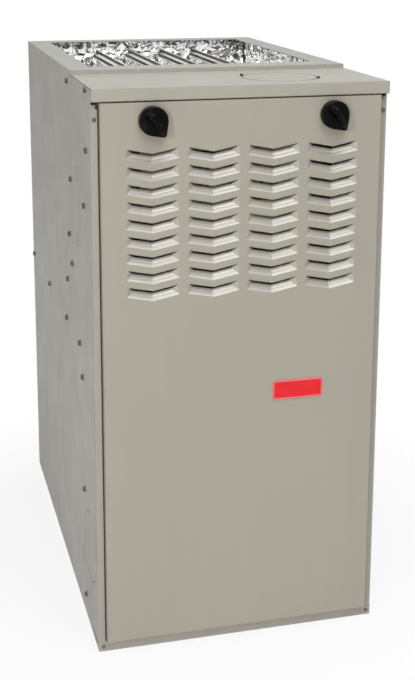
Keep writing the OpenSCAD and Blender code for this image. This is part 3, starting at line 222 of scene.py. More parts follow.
class GroupBoard(Board):
    """The tree of a node group; one method for each shared effect lays out its nodes."""

    def __init__(self, tree: bpy.types.NodeTree) -> None:
        """Add the nodes that stand for the group's inputs and outputs."""
        super().__init__(tree)
        self.entry, self.exit = (tree.nodes.new("NodeGroup" + end) for end in ("Input", "Output"))

    def take(self, name: str, value: float) -> Socket:
        """Add a number input.

        Args:
            name: its name.
            value: its default.

        Returns:
            Its socket inside the group.
        """
        socket = self.tree.interface.new_socket(name=name, in_out="INPUT", socket_type="NodeSocketFloat")
        socket.default_value = value
        return self.entry.outputs[name]

    def give(self, name: str, value: Socket, kind: str = "Float") -> None:
        """Add an output of that kind and feed it."""
        self.tree.interface.new_socket(name=name, in_out="OUTPUT", socket_type="NodeSocket" + kind)
        self.feed(self.exit.inputs[name], value)

    def edges(self) -> None:
        """Edges rounded by a radius, and a broken mask along them: rubbed wear, and on the knobs a painted
        glint.
        """
        radius = self.take("Radius", 0.0008)
        amount = self.take("Wear", 0.3)
        bent = self.add("Bevel", {"Radius": radius}, samples=4).outputs[0]
        flat = self.add("NewGeometry").outputs["Normal"]
        same = self.add("VectorMath", {0: bent, 1: flat}, operation="DOT_PRODUCT").outputs["Value"]
        edge = self.span(same, 0.985, 0.86)
        broken = self.noise(140.0, 3.0, 0.6)
        rub_and_glint = self.times(edge, self.span(broken, 0.46, 0.62))
        self.give("Mask", self.math("MULTIPLY", rub_and_glint, amount, clamp=True))
        self.give("Normal", bent, "Vector")

    def skin(self) -> None:
        """Coil-coated paint: fine pebble, flecks, and faint streaks along the rolling direction."""
        pebble = self.noise(1300.0, 2.0, 0.55)
        fleck = self.noise(2300.0, 1.0, 0.4)
        streak = self.noise(1.0, where=self.place((38.0, 38.0, 1.1)))
        drift = self.noise(2.6)
        tone = self.plus(self.span(streak, 0.3, 0.7, -0.016, 0.016),
                         self.span(drift, 0.3, 0.7, -0.02, 0.02))
        tone = self.plus(tone, self.span(fleck, 0.3, 0.7, -0.035, 0.035))
        self.give("Tone", self.plus(tone, 1.0))
        self.give("Height", pebble)
        self.give("Shine", self.span(drift, 0.25, 0.75, -0.05, 0.05))

    def flakes(self) -> None:
        """Crystals of hot-dipped zinc, each with its own tone and gloss."""
        size = self.take("Scale", 1.0)
        contrast = self.take("Contrast", 1.0)
        bend = self.add("TexNoise", {"Vector": self.place(), "Scale": 60.0, "Detail": 2.0}).outputs["Color"]
        pull = self.add("VectorMath", {0: bend, 3: 0.006}, operation="SCALE").outputs[0]
        where = self.add("VectorMath", {0: self.place(), 1: pull}, operation="ADD").outputs[0]
        cell = self.cells(self.times(size, 110.0), where)
        red, green, blue = self.add("SeparateColor", {0: cell["Color"]}).outputs
        wipe = self.noise(9.0, 3.0, 0.6)
        tone = self.times(self.span(red, 0.0, 1.0, -0.12, 0.12), contrast)
        self.give("Tone", self.plus(self.plus(tone, self.span(wipe, 0.3, 0.7, -0.05, 0.05)), 1.0))
        self.give("Shine", self.times(self.span(green, 0.0, 1.0, -0.09, 0.09), contrast))
        self.give("Height", blue)

    def crinkle(self) -> None:
        """Creases pressed into thin foil: bright facets, with painted shade darkening the folds between
        them.
        """
        size = self.take("Scale", 1.0)
        where = self.place((1.0, 0.45, 1.0))
        wide = self.cells(self.times(size, 80.0), where, "DISTANCE_TO_EDGE")[0]
        soft = self.noise(self.times(size, 48.0), 1.5, 0.5, 1.0, where)
        curl = self.noise(self.times(size, 80.0), 1.0, 0.5, 1.5, where)
        fold = self.math("ABSOLUTE", self.math("SUBTRACT", soft, 0.5))
        nick = self.math("ABSOLUTE", self.math("SUBTRACT", curl, 0.42))
        sag = self.times(self.along(2), -140.0)
        pressed = self.plus(self.span(wide, 0.0, 0.3), self.times(soft, 3.0))
        self.give("Height", self.plus(pressed, sag))
        self.give("Tone", self.times(self.span(fold, 0.005, 0.026, 0.1, 1.0),
                                     self.span(nick, 0.003, 0.026, 0.3, 1.0)))
        self.give("Shine", self.span(fold, 0.0, 0.05, 0.15, -0.04))

    def handling(self) -> None:
        """Dust that settles on what faces up, and smudges from hands."""
        amount = self.take("Dust", 0.3)
        up = self.along(2, self.add("NewGeometry").outputs["Normal"])
        patch = self.noise(24.0, 4.0, 0.62)
        grit = self.noise(900.0, 1.0)
        lying = self.times(self.span(up, 0.25, 0.95), self.span(patch, 0.38, 0.72))
        dust = self.times(lying, self.span(grit, 0.3, 0.6, 0.5, 1.0))
        self.give("Mask", self.math("MULTIPLY", dust, amount, clamp=True))
        self.give("Shine", self.span(self.noise(15.0, 3.0, 0.6), 0.35, 0.7, -0.05, 0.07))

    def pores(self) -> None:
        """Grain of a die casting or of a moulded surface."""
        grain = self.noise(750.0, 3.0, 0.6)
        pits = self.cells(420.0)[0]
        self.give("Height", self.plus(grain, self.times(self.span(pits, 0.0, 0.35), 0.6)))
        self.give("Tone", self.span(self.noise(30.0, 3.0, 0.6), 0.3, 0.7, 0.93, 1.06))

    def layers(self) -> None:
        """Thin sheets stacked along Y."""
        pitch = self.take("Pitch", 1600.0)
        wave = self.math("SINE", self.times(self.along(1), self.times(pitch, FULL_TURN)))
        self.give("Height", wave)
        self.give("Tone", self.span(wave, -1.0, 1.0, 0.8, 1.08))


# ---------- finishes ----------

@dataclass
class Surface:
    """What a finish's pattern gives back; a part left out stays plain."""

    tint: Socket | None = None
    tone: Socket | None = None
    shine: Socket | None = None
    height: Socket | None = None

    @classmethod
    def of(cls, group: bpy.types.Node) -> "Surface":
        """Take the tone, shine and height that an effect's group gives."""
        given = {name: group.outputs.get(name.capitalize()) for name in ("tone", "shine", "height")}
        return cls(**given)


@dataclass(frozen=True)
class Finish:
    """A finish: its colour and gloss, what handling has done to it, and any painted glint on its edges."""

    name: str
    colour: str
    roughness: float = 0.5
    metallic: float = 0.0
    specular: float = 0.5
    bump: float = 0.2
    relief: float = 0.0002
    edge: float = 0.6
    wear: float = 0.0
    worn: str = "#B4B4B0"
    dust: float = 0.0
    dust_colour: str = "#A49F95"
    coat: float = 0.0
    coat_rough: float = 0.1

    def pattern(self, board: Board) -> Surface:
        """Give the finish's own pattern; each kind has its own."""
        return Surface.of(Effect.PORES.use(board))

    def material(self) -> bpy.types.Material:
        """Make the material, or find it once it is made.

        Returns:
            The Blender material.
        """
        found = bpy.data.materials.get(self.name)
        if found is not None:
            return found
        made = bpy.data.materials.new(self.name)
        made.use_nodes = True
        made.diffuse_color = linear(self.colour)
        board = Board(made.node_tree)
        shader = made.node_tree.nodes["Principled BSDF"]
        shader.inputs["Metallic"].default_value = self.metallic
        shader.inputs["Specular IOR Level"].default_value = self.specular
        shader.inputs["Coat Weight"].default_value = self.coat
        shader.inputs["Coat Roughness"].default_value = self.coat_rough
        surface = self.pattern(board)
        edges = Effect.EDGES.use(board, radius=self.edge * MM, wear=self.wear)
        hands = Effect.HANDLING.use(board, dust=self.dust)
        colour = surface.tint or linear(self.colour)
        if surface.tone is not None:
            colour = board.scale_colour(colour, surface.tone)
        # Edge wear colour; on the knobs it is a painted glint.
        if self.wear:
            colour = board.mix(edges.outputs["Mask"], colour, linear(self.worn))
        if self.dust:
            colour = board.mix(hands.outputs["Mask"], colour, linear(self.dust_colour))
        board.feed(shader.inputs["Base Color"], colour)
        rough = board.plus(hands.outputs["Shine"], self.roughness)
        if surface.shine is not None:
            rough = board.plus(rough, surface.shine)
        board.feed(shader.inputs["Roughness"], board.math("MAXIMUM", rough, 0.04))
        normal = edges.outputs["Normal"]
        if surface.height is not None:
            normal = board.add("Bump", {"Strength": self.bump, "Distance": self.relief,
                                        "Height": surface.height, "Normal": normal}).outputs[0]
        board.feed(shader.inputs["Normal"], normal)
        self.complete(board, shader)
        return made

    def complete(self, board: Board, shader: bpy.types.Node) -> None:
        """Add what only this kind of finish has; most kinds have nothing more."""


@dataclass(frozen=True)
class Paint(Finish):
    """Factory-coated sheet steel with a fine metallic fleck."""

    def pattern(self, board: Board) -> Surface:
        """Pebble, fleck and rolling streaks."""
        return Surface.of(Effect.SKIN.use(board))


@dataclass(frozen=True)
class Zinc(Finish):
    """Bare galvanised or aluminised sheet."""

    size: float = 1.0
    contrast: float = 1.0

    def pattern(self, board: Board) -> Surface:
        """Crystals of the dipped coat."""
        return Surface.of(Effect.FLAKES.use(board, scale=self.size, contrast=self.contrast))


@dataclass(frozen=True)
class Foil(Finish):
    """Thin bright foil on insulation, with warm shade in its folds."""

    size: float = 1.0
    shade: str = "#5E5449"

    def pattern(self, board: Board) -> Surface:
        """Creases, their shade mixed in as a colour."""
        crease = Surface.of(Effect.CRINKLE.use(board, scale=self.size))
        return replace(crease, tone=None,
                       tint=board.mix(crease.tone, linear(self.shade), linear(self.colour)))


@dataclass(frozen=True)
class CellSide(Foil):
    """Side of a heat cell with a painted highlight, and painted shade where its back end turns down."""

    back: float = 0.3
    burn: float = 0.058
    fade: float = 0.003
    soot: str = "#0C0A08"

    def pattern(self, board: Board) -> Surface:
        """Give the creases, with painted shade beyond a place along Y in metres.

        Args:
            board: the material's tree.

        Returns:
            The pattern.
        """
        surface = super().pattern(board)
        # Painted shade darkens the side near its back end.
        start = self.back - self.burn
        painted_shade_mask = board.span(board.along(1), start, start + self.fade)
        return replace(surface, tint=board.mix(painted_shade_mask, surface.tint, linear(self.soot)))


@dataclass(frozen=True)
class Layered(Finish):
    """Stacked steel sheets of a motor or transformer."""

    pitch: float = 900.0

    def pattern(self, board: Board) -> Surface:
        """Lines of the stack."""
        return Surface.of(Effect.LAYERS.use(board, pitch=self.pitch))


@dataclass(frozen=True)
class Fibre(Finish):
    """Card or filter cloth, with short fibres lying every way."""

    scale: float = 1.0
    lays: tuple[Point, Point] = ((900.0, 160.0, 900.0), (160.0, 900.0, 500.0))

    def pattern(self, board: Board) -> Surface:
        """Mix two noises, each stretched along the lay of its fibres.

        Args:
            board: the material's tree.

        Returns:
            The pattern.
        """
        one, two = (board.noise(1.0, 3.0, 0.6, where=board.place(tuple(self.scale * v for v in lay)))
                    for lay in self.lays)
        both = board.times(board.plus(one, two), 0.5)
        return Surface(tone=board.span(both, 0.35, 0.65, 0.86, 1.08), height=both)


@dataclass(frozen=True)
class CircuitBoard(Finish):
    """Lacquered circuit board with pale traces under the lacquer."""

    trace: str = "#4E8A5E"

    def pattern(self, board: Board) -> Surface:
        """Draw the traces as the edges of square cells.

        Args:
            board: the material's tree.

        Returns:
            The pattern.
        """
        grid = board.add("TexVoronoi", {"Vector": board.place((1.0, 150.0, 110.0)), "Scale": 1.0},
                         distance="CHEBYCHEV", feature="F1").outputs[0]
        line = board.times(board.span(grid, 0.5, 0.53), board.span(grid, 0.6, 0.57))
        return Surface(tint=board.mix(line, linear(self.colour), linear(self.trace)), height=line)


@dataclass(frozen=True)
class Glass(Finish):
    """Clear heat-proof glass of a sight port."""

    def complete(self, board: Board, shader: bpy.types.Node) -> None:
        """Let light through."""
        shader.inputs["Transmission Weight"].default_value = 0.9
        shader.inputs["IOR"].default_value = 1.47


class Palette:
    """Every finish on the furnace."""

    door = Paint("warm_grey_door_paint", "#ADA699", roughness=0.46, specular=0.28, bump=0.12,
                 relief=0.00012, edge=2.4, wear=0.1, worn="#C9C5BC", dust=0.05)
    # Louvre faces: the door paint made glossier, and lighter as a painted highlight.
    louvre = Paint("pressed_louvre_paint", "#BFBAB0", roughness=0.37, metallic=0.2, bump=0.08,
                   relief=0.00008, edge=0.35, coat=0.22, coat_rough=0.22)
    casing = Paint("warm_grey_casing_paint", "#ACA8A0", roughness=0.47, specular=0.28, bump=0.14,
                   relief=0.00012, edge=0.9, wear=0.15, dust=0.06)
    plate = Paint("warm_grey_top_paint", "#B0AA9E", roughness=0.45, specular=0.3, bump=0.12, relief=0.00012,
                  edge=2.8, wear=0.12, worn="#C9C5BC", dust=0.08)
    # Painted shade: dark colours for the bottoms of the scored rings and for the nibs by the vent disc.
    score = Paint("scored_line_paint", "#3A352D", roughness=0.6, specular=0.2, bump=0.12, edge=0.2)
    nib = Paint("rubbed_nib_paint", "#241F1A", roughness=0.6, specular=0.2, bump=0.12, edge=0.2)
    inner = Paint("shaded_inner_paint", "#9D988E", specular=0.3, bump=0.12, relief=0.00012, wear=0.1,
                  dust=0.2)
    zinc = Zinc("galvanised_sheet", "#A4A6A6", roughness=0.42, metallic=0.85, bump=0.08, relief=0.00004,
                edge=0.5, dust=0.15)
    bracket = Zinc("bright_zinc_brackets", "#B4B6B8", roughness=0.36, metallic=0.9, bump=0.08,
                   relief=0.00004, edge=0.5, size=1.6, contrast=0.6)
    cell = Zinc("aluminised_cells", "#EAE9E4", roughness=0.38, metallic=0.5, bump=0.06, relief=0.00006,
                edge=0.8, size=2.2, contrast=0.5, dust=0.05)
    # Painted shade: a dark copy of the cell metal for the cells' shoulder steps and rim faces.
    crease = Zinc("oxidised_creases", "#4E463C", roughness=0.6, metallic=0.3, relief=0.0001, edge=0.3,
                  size=3.0)
    duct = Zinc("aluminised_boxes", "#A8A7A2", roughness=0.45, metallic=0.8, bump=0.08, relief=0.00004,
                size=1.8, contrast=0.6, dust=0.15)
    foil = Foil("crinkled_foil", "#FFFFFE", roughness=0.2, metallic=1.0, specular=0.8, bump=0.6,
                relief=0.002, edge=0.2, size=0.72)
    screw = Finish("plated_screws", "#6C675F", roughness=0.36, metallic=0.8, bump=0.1, edge=0.3, wear=0.4)
    rusty = Finish("rubbed_screws", "#8B6A58", metallic=0.5, edge=0.3, wear=0.3)
    # The knobs' light edge wear is a painted glint along the grip's ridge and rim.
    knob = Finish("gloss_black_knobs", "#030303", roughness=0.24, specular=0.08, bump=0.04, edge=1.1,
                  wear=0.4, worn="#6E6E70")
    black = Finish("matte_black_plastic", "#1B1C1E", roughness=0.55, bump=0.15, edge=0.4, dust=0.2)
    grey = Finish("grey_moulding", "#75787B", bump=0.12, edge=0.4, dust=0.1)
    white = Finish("white_nylon", "#D6D2C6", roughness=0.45, bump=0.08, edge=0.4, dust=0.1)
    red = Finish("red_plastic", "#A51F22", roughness=0.35, bump=0.06, edge=0.3)
    blue = Finish("blue_relay_plastic", "#2B4F7E", roughness=0.4, bump=0.08, edge=0.4)
    cast = Finish("die_cast_alloy", "#9C9FA2", roughness=0.48, metallic=0.7, bump=0.5, relief=0.0003,
                  edge=1.0, dust=0.1)
    pipe = Finish("black_iron_pipe", "#36373A", roughness=0.55, metallic=0.5, bump=0.5, relief=0.0003,
                  wear=0.3, worn="#6C6A67")
    brass = Finish("turned_brass", "#B08A3E", roughness=0.26, metallic=1.0, bump=0.08, edge=0.3)
    ceramic = Finish("fired_ceramic", "#DDD5C4", roughness=0.6, bump=0.3, edge=0.5)
    motor = Finish("motor_enamel", "#3B3E44", roughness=0.38, bump=0.12, edge=0.9, wear=0.2, dust=0.15)
    steel = Finish("drawn_shaft_steel", "#B9BBBD", roughness=0.26, metallic=1.0, bump=0.06, edge=0.4)
    stack = Layered("motor_laminations", "#6F7072", roughness=0.4, metallic=0.8, bump=0.5, edge=0.4)
    rubber = Finish("hose_rubber", "#1D1D1E", edge=0.2)
    card = Fibre("filter_card", "#B49C73", roughness=0.8, bump=0.35, edge=0.3)
    cloth = Fibre("filter_cloth", "#C9CED2", roughness=0.9, bump=0.6, relief=0.0006, edge=0.2, scale=1.6)
    board = CircuitBoard("green_circuit_board", "#1F5C36", roughness=0.3, bump=0.3, edge=0.2)
    glass = Glass("sight_port_glass", "#C8D6D4", roughness=0.05, bump=0.02, edge=0.4)
    enamel = Finish("red_plate_enamel", "#EE1822", roughness=0.35, specular=0.3, bump=0.04, edge=0.5,
                    coat=0.15)
    rim = Finish("pale_plate_rim", "#EE7A7E", roughness=0.35, specular=0.3, bump=0.04, edge=0.3)
    tape = Fibre("winding_tape", "#C2A55A", roughness=0.55, edge=0.3, scale=1.2)

    @staticmethod
    def wire(name: str, colour: str) -> Finish:
        """A wire cover of that colour."""
        return Finish("wire_cover_" + name, colour, roughness=0.42, bump=0.1, edge=0.2)


# ---------- pieces ----------

class Shop:
    """Makes meshes and names them as pieces on a CAD body."""

    @staticmethod
    def piece(name: str, source: Mesh | bpy.types.Curve, finish: Finish, slot: str,
              stands_for: Sequence[str] = (), smooth: float = 35.0, body: str = "cabinet") -> None:
        """Make a piece.

        Args:
            name: the piece's name.
            source: its mesh as a bmesh, or a curve, in metres in the row frame.
            finish: what it is dressed in.
            slot: the record's material slot; not used.
            stands_for: CAD nodes that it replaces.
            smooth: edges flatter than this many degrees are shaded smooth.
            body: the CAD body that it rides on.
        """
        if isinstance(source, Mesh):
            data = bpy.data.meshes.new(name)
            source.normal_update()
            source.to_mesh(data)
            source.free()
            data.shade_smooth()
            data.set_sharp_from_angle(angle=math.radians(smooth))
        else:
            data = source
        data.materials.append(finish.material())
        made = bpy.data.objects.new(name, data)
        bpy.context.scene.collection.objects.link(made)
        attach(made, body)
        if stands_for:
            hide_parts(*stands_for)

    @staticmethod
    def dress(finish: Finish, *nodes: str) -> None:
        """Give CAD nodes a finish.

        Args:
            finish: the finish.
            nodes: the CAD nodes.
        """
        for name in nodes:
            slots = frame["nodes"][name].data.materials
            slots.clear()
            slots.append(finish.material())

    @staticmethod
    def dress_parts(node: str, *parts: tuple[Finish, Zone]) -> None:
        """Give parts of a CAD node their own finishes; where two meet, the later one wins.

        Args:
            node: the CAD node.
            parts: each part's finish, and the test of where its faces lie.
        """
        data = frame["nodes"][node].data
        low, high = node_box(node)
        for finish, inside in parts:
            data.materials.append(finish.material())
            for face in data.polygons:
                middle = face.center / MM
                if inside(middle - low, high - middle, face.normal):
                    face.material_index = len(data.materials) - 1

    @staticmethod
    def pin(mesh: Mesh, low: Sequence[float], high: Sequence[float]) -> None:
        """Add a square pin.

        Args:
            mesh: the mesh that grows.
            low: lowest corner in millimetres.
            high: highest corner in millimetres.
        """
        made = bmesh.ops.create_cube(mesh, size=1.0)["verts"]
        bmesh.ops.scale(mesh, vec=[(h - l) * MM for l, h in zip(low, high)], verts=made)
        bmesh.ops.translate(mesh, vec=[(h + l) / 2 * MM for l, h in zip(low, high)], verts=made)

    @staticmethod
    def turned(mesh: Mesh, profile: Profile, at: Matrix, sides: int) -> None:
        """Add a turned shape.

        Args:
            mesh: the mesh that grows.
            profile: radius and height pairs in millimetres; only the last radius can be 0.
            at: where its axis stands, in metres.
            sides: how many sides the turn has.
        """
        rings = []
        for radius, height in profile:
            turn = [2 * math.pi * k / sides for k in range(sides if radius > 0 else 1)]
            rings.append([mesh.verts.new(at @ Vector((radius * MM * math.cos(a), radius * MM * math.sin(a),
                                                      height * MM))) for a in turn])
        for low, high in zip(rings, rings[1:]):
            for k in range(sides):
                j = (k + 1) % sides
                mesh.faces.new((low[k], low[j], *((high[j], high[k]) if len(high) > 1 else high)))
        mesh.faces.new(rings[0][::-1])
        if len(rings[-1]) > 1:
            mesh.faces.new(rings[-1])

    @staticmethod
    def strand(name: str, points: Sequence[Sequence[float]], width: float) -> bpy.types.Curve:
        """Make a round strand along points.

        Args:
            name: the curve's name.
            points: the points in millimetres.
            width: its diameter in millimetres.

        Returns:
            The curve.
        """
        made = bpy.data.curves.new(name, "CURVE")
        made.dimensions = "3D"
        made.bevel_depth = width / 2 * MM
        made.bevel_resolution = 3
        made.resolution_u = 6
        made.use_fill_caps = True
        line = made.splines.new("BEZIER")
        places = [Vector(p) * MM for p in points]
        line.bezier_points.add(len(places) - 1)
        for knot, place in zip(line.bezier_points, places):
            knot.co = place
            knot.handle_left_type = knot.handle_right_type = "AUTO"
        return made


def facing(x: float, y: float, z: float, out: Sequence[float]) -> Matrix:
    """Give the place, in metres, of a turned piece at a point in millimetres with its axis pointing out."""
    turn = Vector(out).to_track_quat("Z", "Y").to_matrix().to_4x4()
    return Matrix.Translation(Vector((x, y, z)) * MM) @ turn


def node_box(name: str) -> tuple[Vector, Vector]:
    """Give a CAD node's lowest and highest corners in millimetres."""
    low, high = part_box(name)
    return low / MM, high / MM


@dataclass
class Cabinet:
    """The painted casing, its top plate, rail and screws."""

    strip_width: float = 10.0
    head: Profile = ((3.2, 0), (3.2, 0.6), (2.752, 1.5), (1.6, 1.9), (1.344, 1.9), (0.96, 1.2), (0, 1.1))
    screw_height: float = 826.0
    rail_step: float = 1.0
    corner_inset: float = 7.0
    corner_height: float = 8.0
    flange_height: float = 6.0
    score: tuple[float, float] = (0.1, 0.9)
    nib_reach: float = 66.0

    def build(self) -> None:
        """Dress the casing and add the small screws of its front."""
        Shop.dress(Palette.casing, "casing_wrap", "bottom_rail")
        Shop.dress(Palette.plate, "top_front_plate")
        Shop.dress(Palette.screw, "casing_screws", "panel_screws")
        Shop.dress(Palette.zinc, "blower_deck", "vestibule_panel", "side_braces", "filter_rails")
        Shop.dress(Palette.bracket, "latch_keepers")
        self.scored_lines()
        self.front_screws()

    def scored_lines(self) -> None:
        """Lay painted shade in the bottoms of the scored rings, and on the two nibs beside the vent disc.
        """
        least, most = self.score
        top = self.flange_height
        low, high = node_box("vent_collar")
        middle = ((low + high) / 2 - node_box("top_front_plate")[0]).to_2d()
        Shop.dress_parts("casing_wrap", (
            Palette.score, lambda a, b, n: abs(n.x) > SQUARE_ON and least < min(a.x, b.x) < most))
        Shop.dress_parts("top_front_plate", (
            Palette.nib, lambda a, b, n: top + least < b.z < top + most
            or b.z < top - least and (a.to_2d() - middle).length < self.nib_reach))

    def front_screws(self) -> None:
        """Add the recessed pan heads of the two front strips and of the rail's ends."""
        low, high = node_box("casing_wrap")
        for name, finish, inset, out, height in (
                ("strip_screws", Palette.screw, self.strip_width / 2, 0, self.screw_height),
                ("rail_screws", Palette.rusty, self.corner_inset, self.rail_step, self.corner_height)):
            mesh = bmesh.new()
            for side in (-1, 1):
                at = facing(side * (high.x - inset), low.y - out, height, FRONT)
                Shop.turned(mesh, self.head, at, 20)
            Shop.piece(name, mesh, finish, "screw_steel")


@dataclass
class Door:
    """The louvred door with its knobs and blank plate."""

    side_band: float = 20.0
    louvres: tuple[float, float] = (40.0, 320.0)
    pressed: tuple[float, float] = (0.2, 9.5)
    plate_rim: float = 2.6
    plate_back: float = 0.5

    def build(self) -> None:
        """Dress the door and what is on it."""
        Shop.dress(Palette.door, "door_panel")
        top, bottom = self.louvres
        outer, inner = self.pressed
        # The louvre faces get the lighter louvre paint, a painted highlight.
        Shop.dress_parts("door_panel", (
            Palette.louvre, lambda a, b, n: min(a.x, b.x) > self.side_band and top < b.z < bottom
            and outer < a.y < inner))
        Shop.dress(Palette.knob, "knob_left", "knob_right")
        Shop.dress(Palette.bracket, "knob_left_cam", "knob_right_cam")
        Shop.dress(Palette.rim, "nameplate")
        Shop.dress_parts("nameplate", (
            Palette.enamel,
            lambda a, b, n: min(a.x, b.x, a.z, b.z) > self.plate_rim and b.y > self.plate_back))


@dataclass
class Lining:
    """Foil-faced insulation on the inner walls round the heat exchanger."""

    step: float = 5.0
    crush: float = 4.5
    seed: Point = (0.045, 0.05, 3.7)
    apart: float = 5.1
    held: float = 0.6
    pucker: float = 0.8
    crisp: float = 18.0

    def build(self) -> None:
        """Replace the three plain slabs with crinkled ones."""
        self.sheet("foil_liner_left", 0, 1)
        self.sheet("foil_liner_right", 0, -1)
        self.sheet("foil_liner_back", 1, -1)

    def sheet(self, node: str, axis: int, sign: int) -> None:
        """Build one crinkled slab.

        Args:
            node: the plain CAD slab.
            axis: 0 where it lies against a side wall, 1 against the back.
            sign: 1 where its open face looks along the axis, -1 against it.
        """
        low, high = node_box(node)
        along = 1 - axis
        wide = max(2, round((high[along] - low[along]) / self.step))
        tall = max(2, round((high.z - low.z) / self.step))
        face = high[axis] if sign > 0 else low[axis]
        wall = low[axis] if sign > 0 else high[axis]
        mesh = bmesh.new()
        grid = []
        for j in range(tall + 1):
            row = []
            for i in range(wide + 1):
                place = [0.0, 0.0, low.z + (high.z - low.z) * j / tall]
                place[along] = low[along] + (high[along] - low[along]) * i / wide
                share = self.held if i in (0, wide) or j in (0, tall) else 1.0
                place[axis] = face - sign * self.depth(place[along], place[2], axis) * share
                row.append(mesh.verts.new(Vector(place) * MM))
            grid.append(row)
        for j in range(tall):
            for i in range(wide):
                a, b, c, d = grid[j][i], grid[j][i + 1], grid[j + 1][i + 1], grid[j + 1][i]
                split = (i + j) % 2
                mesh.faces.new((a, b, (c, d)[split]))
                mesh.faces.new((c, d, (a, b)[split]))
        edge = [e for e in mesh.edges if e.is_boundary]
        walls = bmesh.ops.extrude_edge_only(mesh, edges=edge)["geom"]
        for vertex in (g for g in walls if isinstance(g, bmesh.types.BMVert)):
            vertex.co[axis] = wall * MM
        bmesh.ops.recalc_face_normals(mesh, faces=mesh.faces)
        Shop.piece(node + "_crinkled", mesh, Palette.foil, "foil", (node,), smooth=self.crisp)

    def depth(self, u: float, v: float, axis: int) -> float:
        """Give how far the foil is pushed back at a point.

        Args:
            u: the point's place along the wall in millimetres.
            v: its height in millimetres.
            axis: the axis that the wall stands across.

        Returns:
            The depth in millimetres.
        """
        at = Vector((u * self.seed[0], v * self.seed[1], self.seed[2] + axis * self.apart))
        near, far = noise.voronoi(at)[0][:2]
        crease = min(1.0, (far - near) * 1.6)
        slow = 0.5 + 0.5 * noise.noise(at * 0.35)
        return self.crush * (1 - crease * 0.75) * slow + self.pucker * (0.5 + 0.5 * noise.noise(at * 3.1))


@dataclass
class HeatExchanger:
    """Four folded cells."""

    shoulder: tuple[float, float] = (12.5, 16.5)
    bend: float = 55.0

    def build(self) -> None:
        """Dress the cells: sides with a painted highlight, painted shade on each shoulder's step and on the
        crimped rim.
        """
        back = node_box("heat_cell_1")[1].y * MM
        # Painted highlight on the cell sides, with painted shade at their back ends.
        side = CellSide("bright_cell_sides", "#FFFFFE", roughness=0.24, metallic=0.9, specular=0.6,
                        bump=0.5, relief=0.002, edge=0.3, size=0.6, back=back)
        inner, outer = (2 * reach for reach in self.shoulder)
        for i in range(1, 5):
            node = f"heat_cell_{i}"
            Shop.dress(Palette.cell, node)
            # Side faces get the painted highlight; shoulder steps and rim faces get painted shade.
            Shop.dress_parts(
                node,
                (side, lambda a, b, n: abs(n.x) > SQUARE_ON and abs(a.x - b.x) > inner),
                (Palette.crease, lambda a, b, n: abs(n.x) < 1 - SQUARE_ON and inner < abs(a.x - b.x) < outer
                 and b.y < self.bend),
                (Palette.crease, lambda a, b, n: abs(n.x) > SQUARE_ON and abs(a.x - b.x) < inner))


@dataclass
class FlueTrain:
    """Collector, draft inducer and vent collar."""

    winding: float = 15.0

    def build(self) -> None:
        """Dress the flue parts and wind the inducer motor."""
        Shop.dress(Palette.duct, "collector_box", "inducer_housing", "vent_collar")
        Shop.dress(Palette.stack, "inducer_motor")
        Shop.dress_parts("inducer_motor", (Palette.tape, lambda a, b, n: a.z < self.winding))
        Shop.dress(Palette.bracket, "inducer_wheel")


@dataclass
class GasTrain:
    """Burner box, burners, manifold and valve."""

    probe_sleeve: float = 18.5
    probe_tip: float = 34.0
    valve_cover: float = 3.05
    valve_fittings: float = 15.9
    rollout_case: tuple[float, float] = (1.6, 12.1)
    screws_x: tuple[float, float] = (9.0, 53.0)
    screws_z: tuple[float, float] = (19.0, 65.0)
    screw: Profile = ((2.6, 0), (2.6, 1.2), (1.8, 1.9), (1.0, 1.9), (0.9, 1.1), (0, 1.1))

    def build(self) -> None:
        """Dress the gas parts."""
        Shop.dress(Palette.duct, "burner_box", "burners")
        Shop.dress(Palette.pipe, "gas_manifold")
        Shop.dress(Palette.brass, "gas_orifices")
        Shop.dress(Palette.black, "gas_valve_switch", "rollout_switch")
        Shop.dress(Palette.red, "rollout_button")
        Shop.dress(Palette.ceramic, "igniter", "flame_sensor")
        for node in ("igniter", "flame_sensor"):
            Shop.dress_parts(node, (
                Palette.bracket,
                lambda a, b, n: b.z > self.probe_sleeve and (abs(n.z) > SQUARE_ON or b.z > self.probe_tip)))
        self.valve()
        bottom, top = self.rollout_case
        Shop.dress_parts("rollout_switch", (Palette.bracket, lambda a, b, n: not bottom <= a.z <= top))

    def valve(self) -> None:
        """Dress the valve's casting, cover and fittings, and screw its cover on."""
        Shop.dress(Palette.cast, "gas_valve")
        Shop.dress_parts("gas_valve", (Palette.black, lambda a, b, n: a.y < self.valve_cover),
                         (Palette.brass, lambda a, b, n: b.z < self.valve_fittings))
        low = node_box("gas_valve")[0]
        mesh = bmesh.new()
        for x in self.screws_x:
            for z in self.screws_z:
                Shop.turned(mesh, self.screw, facing(low.x + x, low.y + 0.1, low.z + z, FRONT), 16)
        Shop.piece("gas_valve_screws", mesh, Palette.screw, "screw_steel")


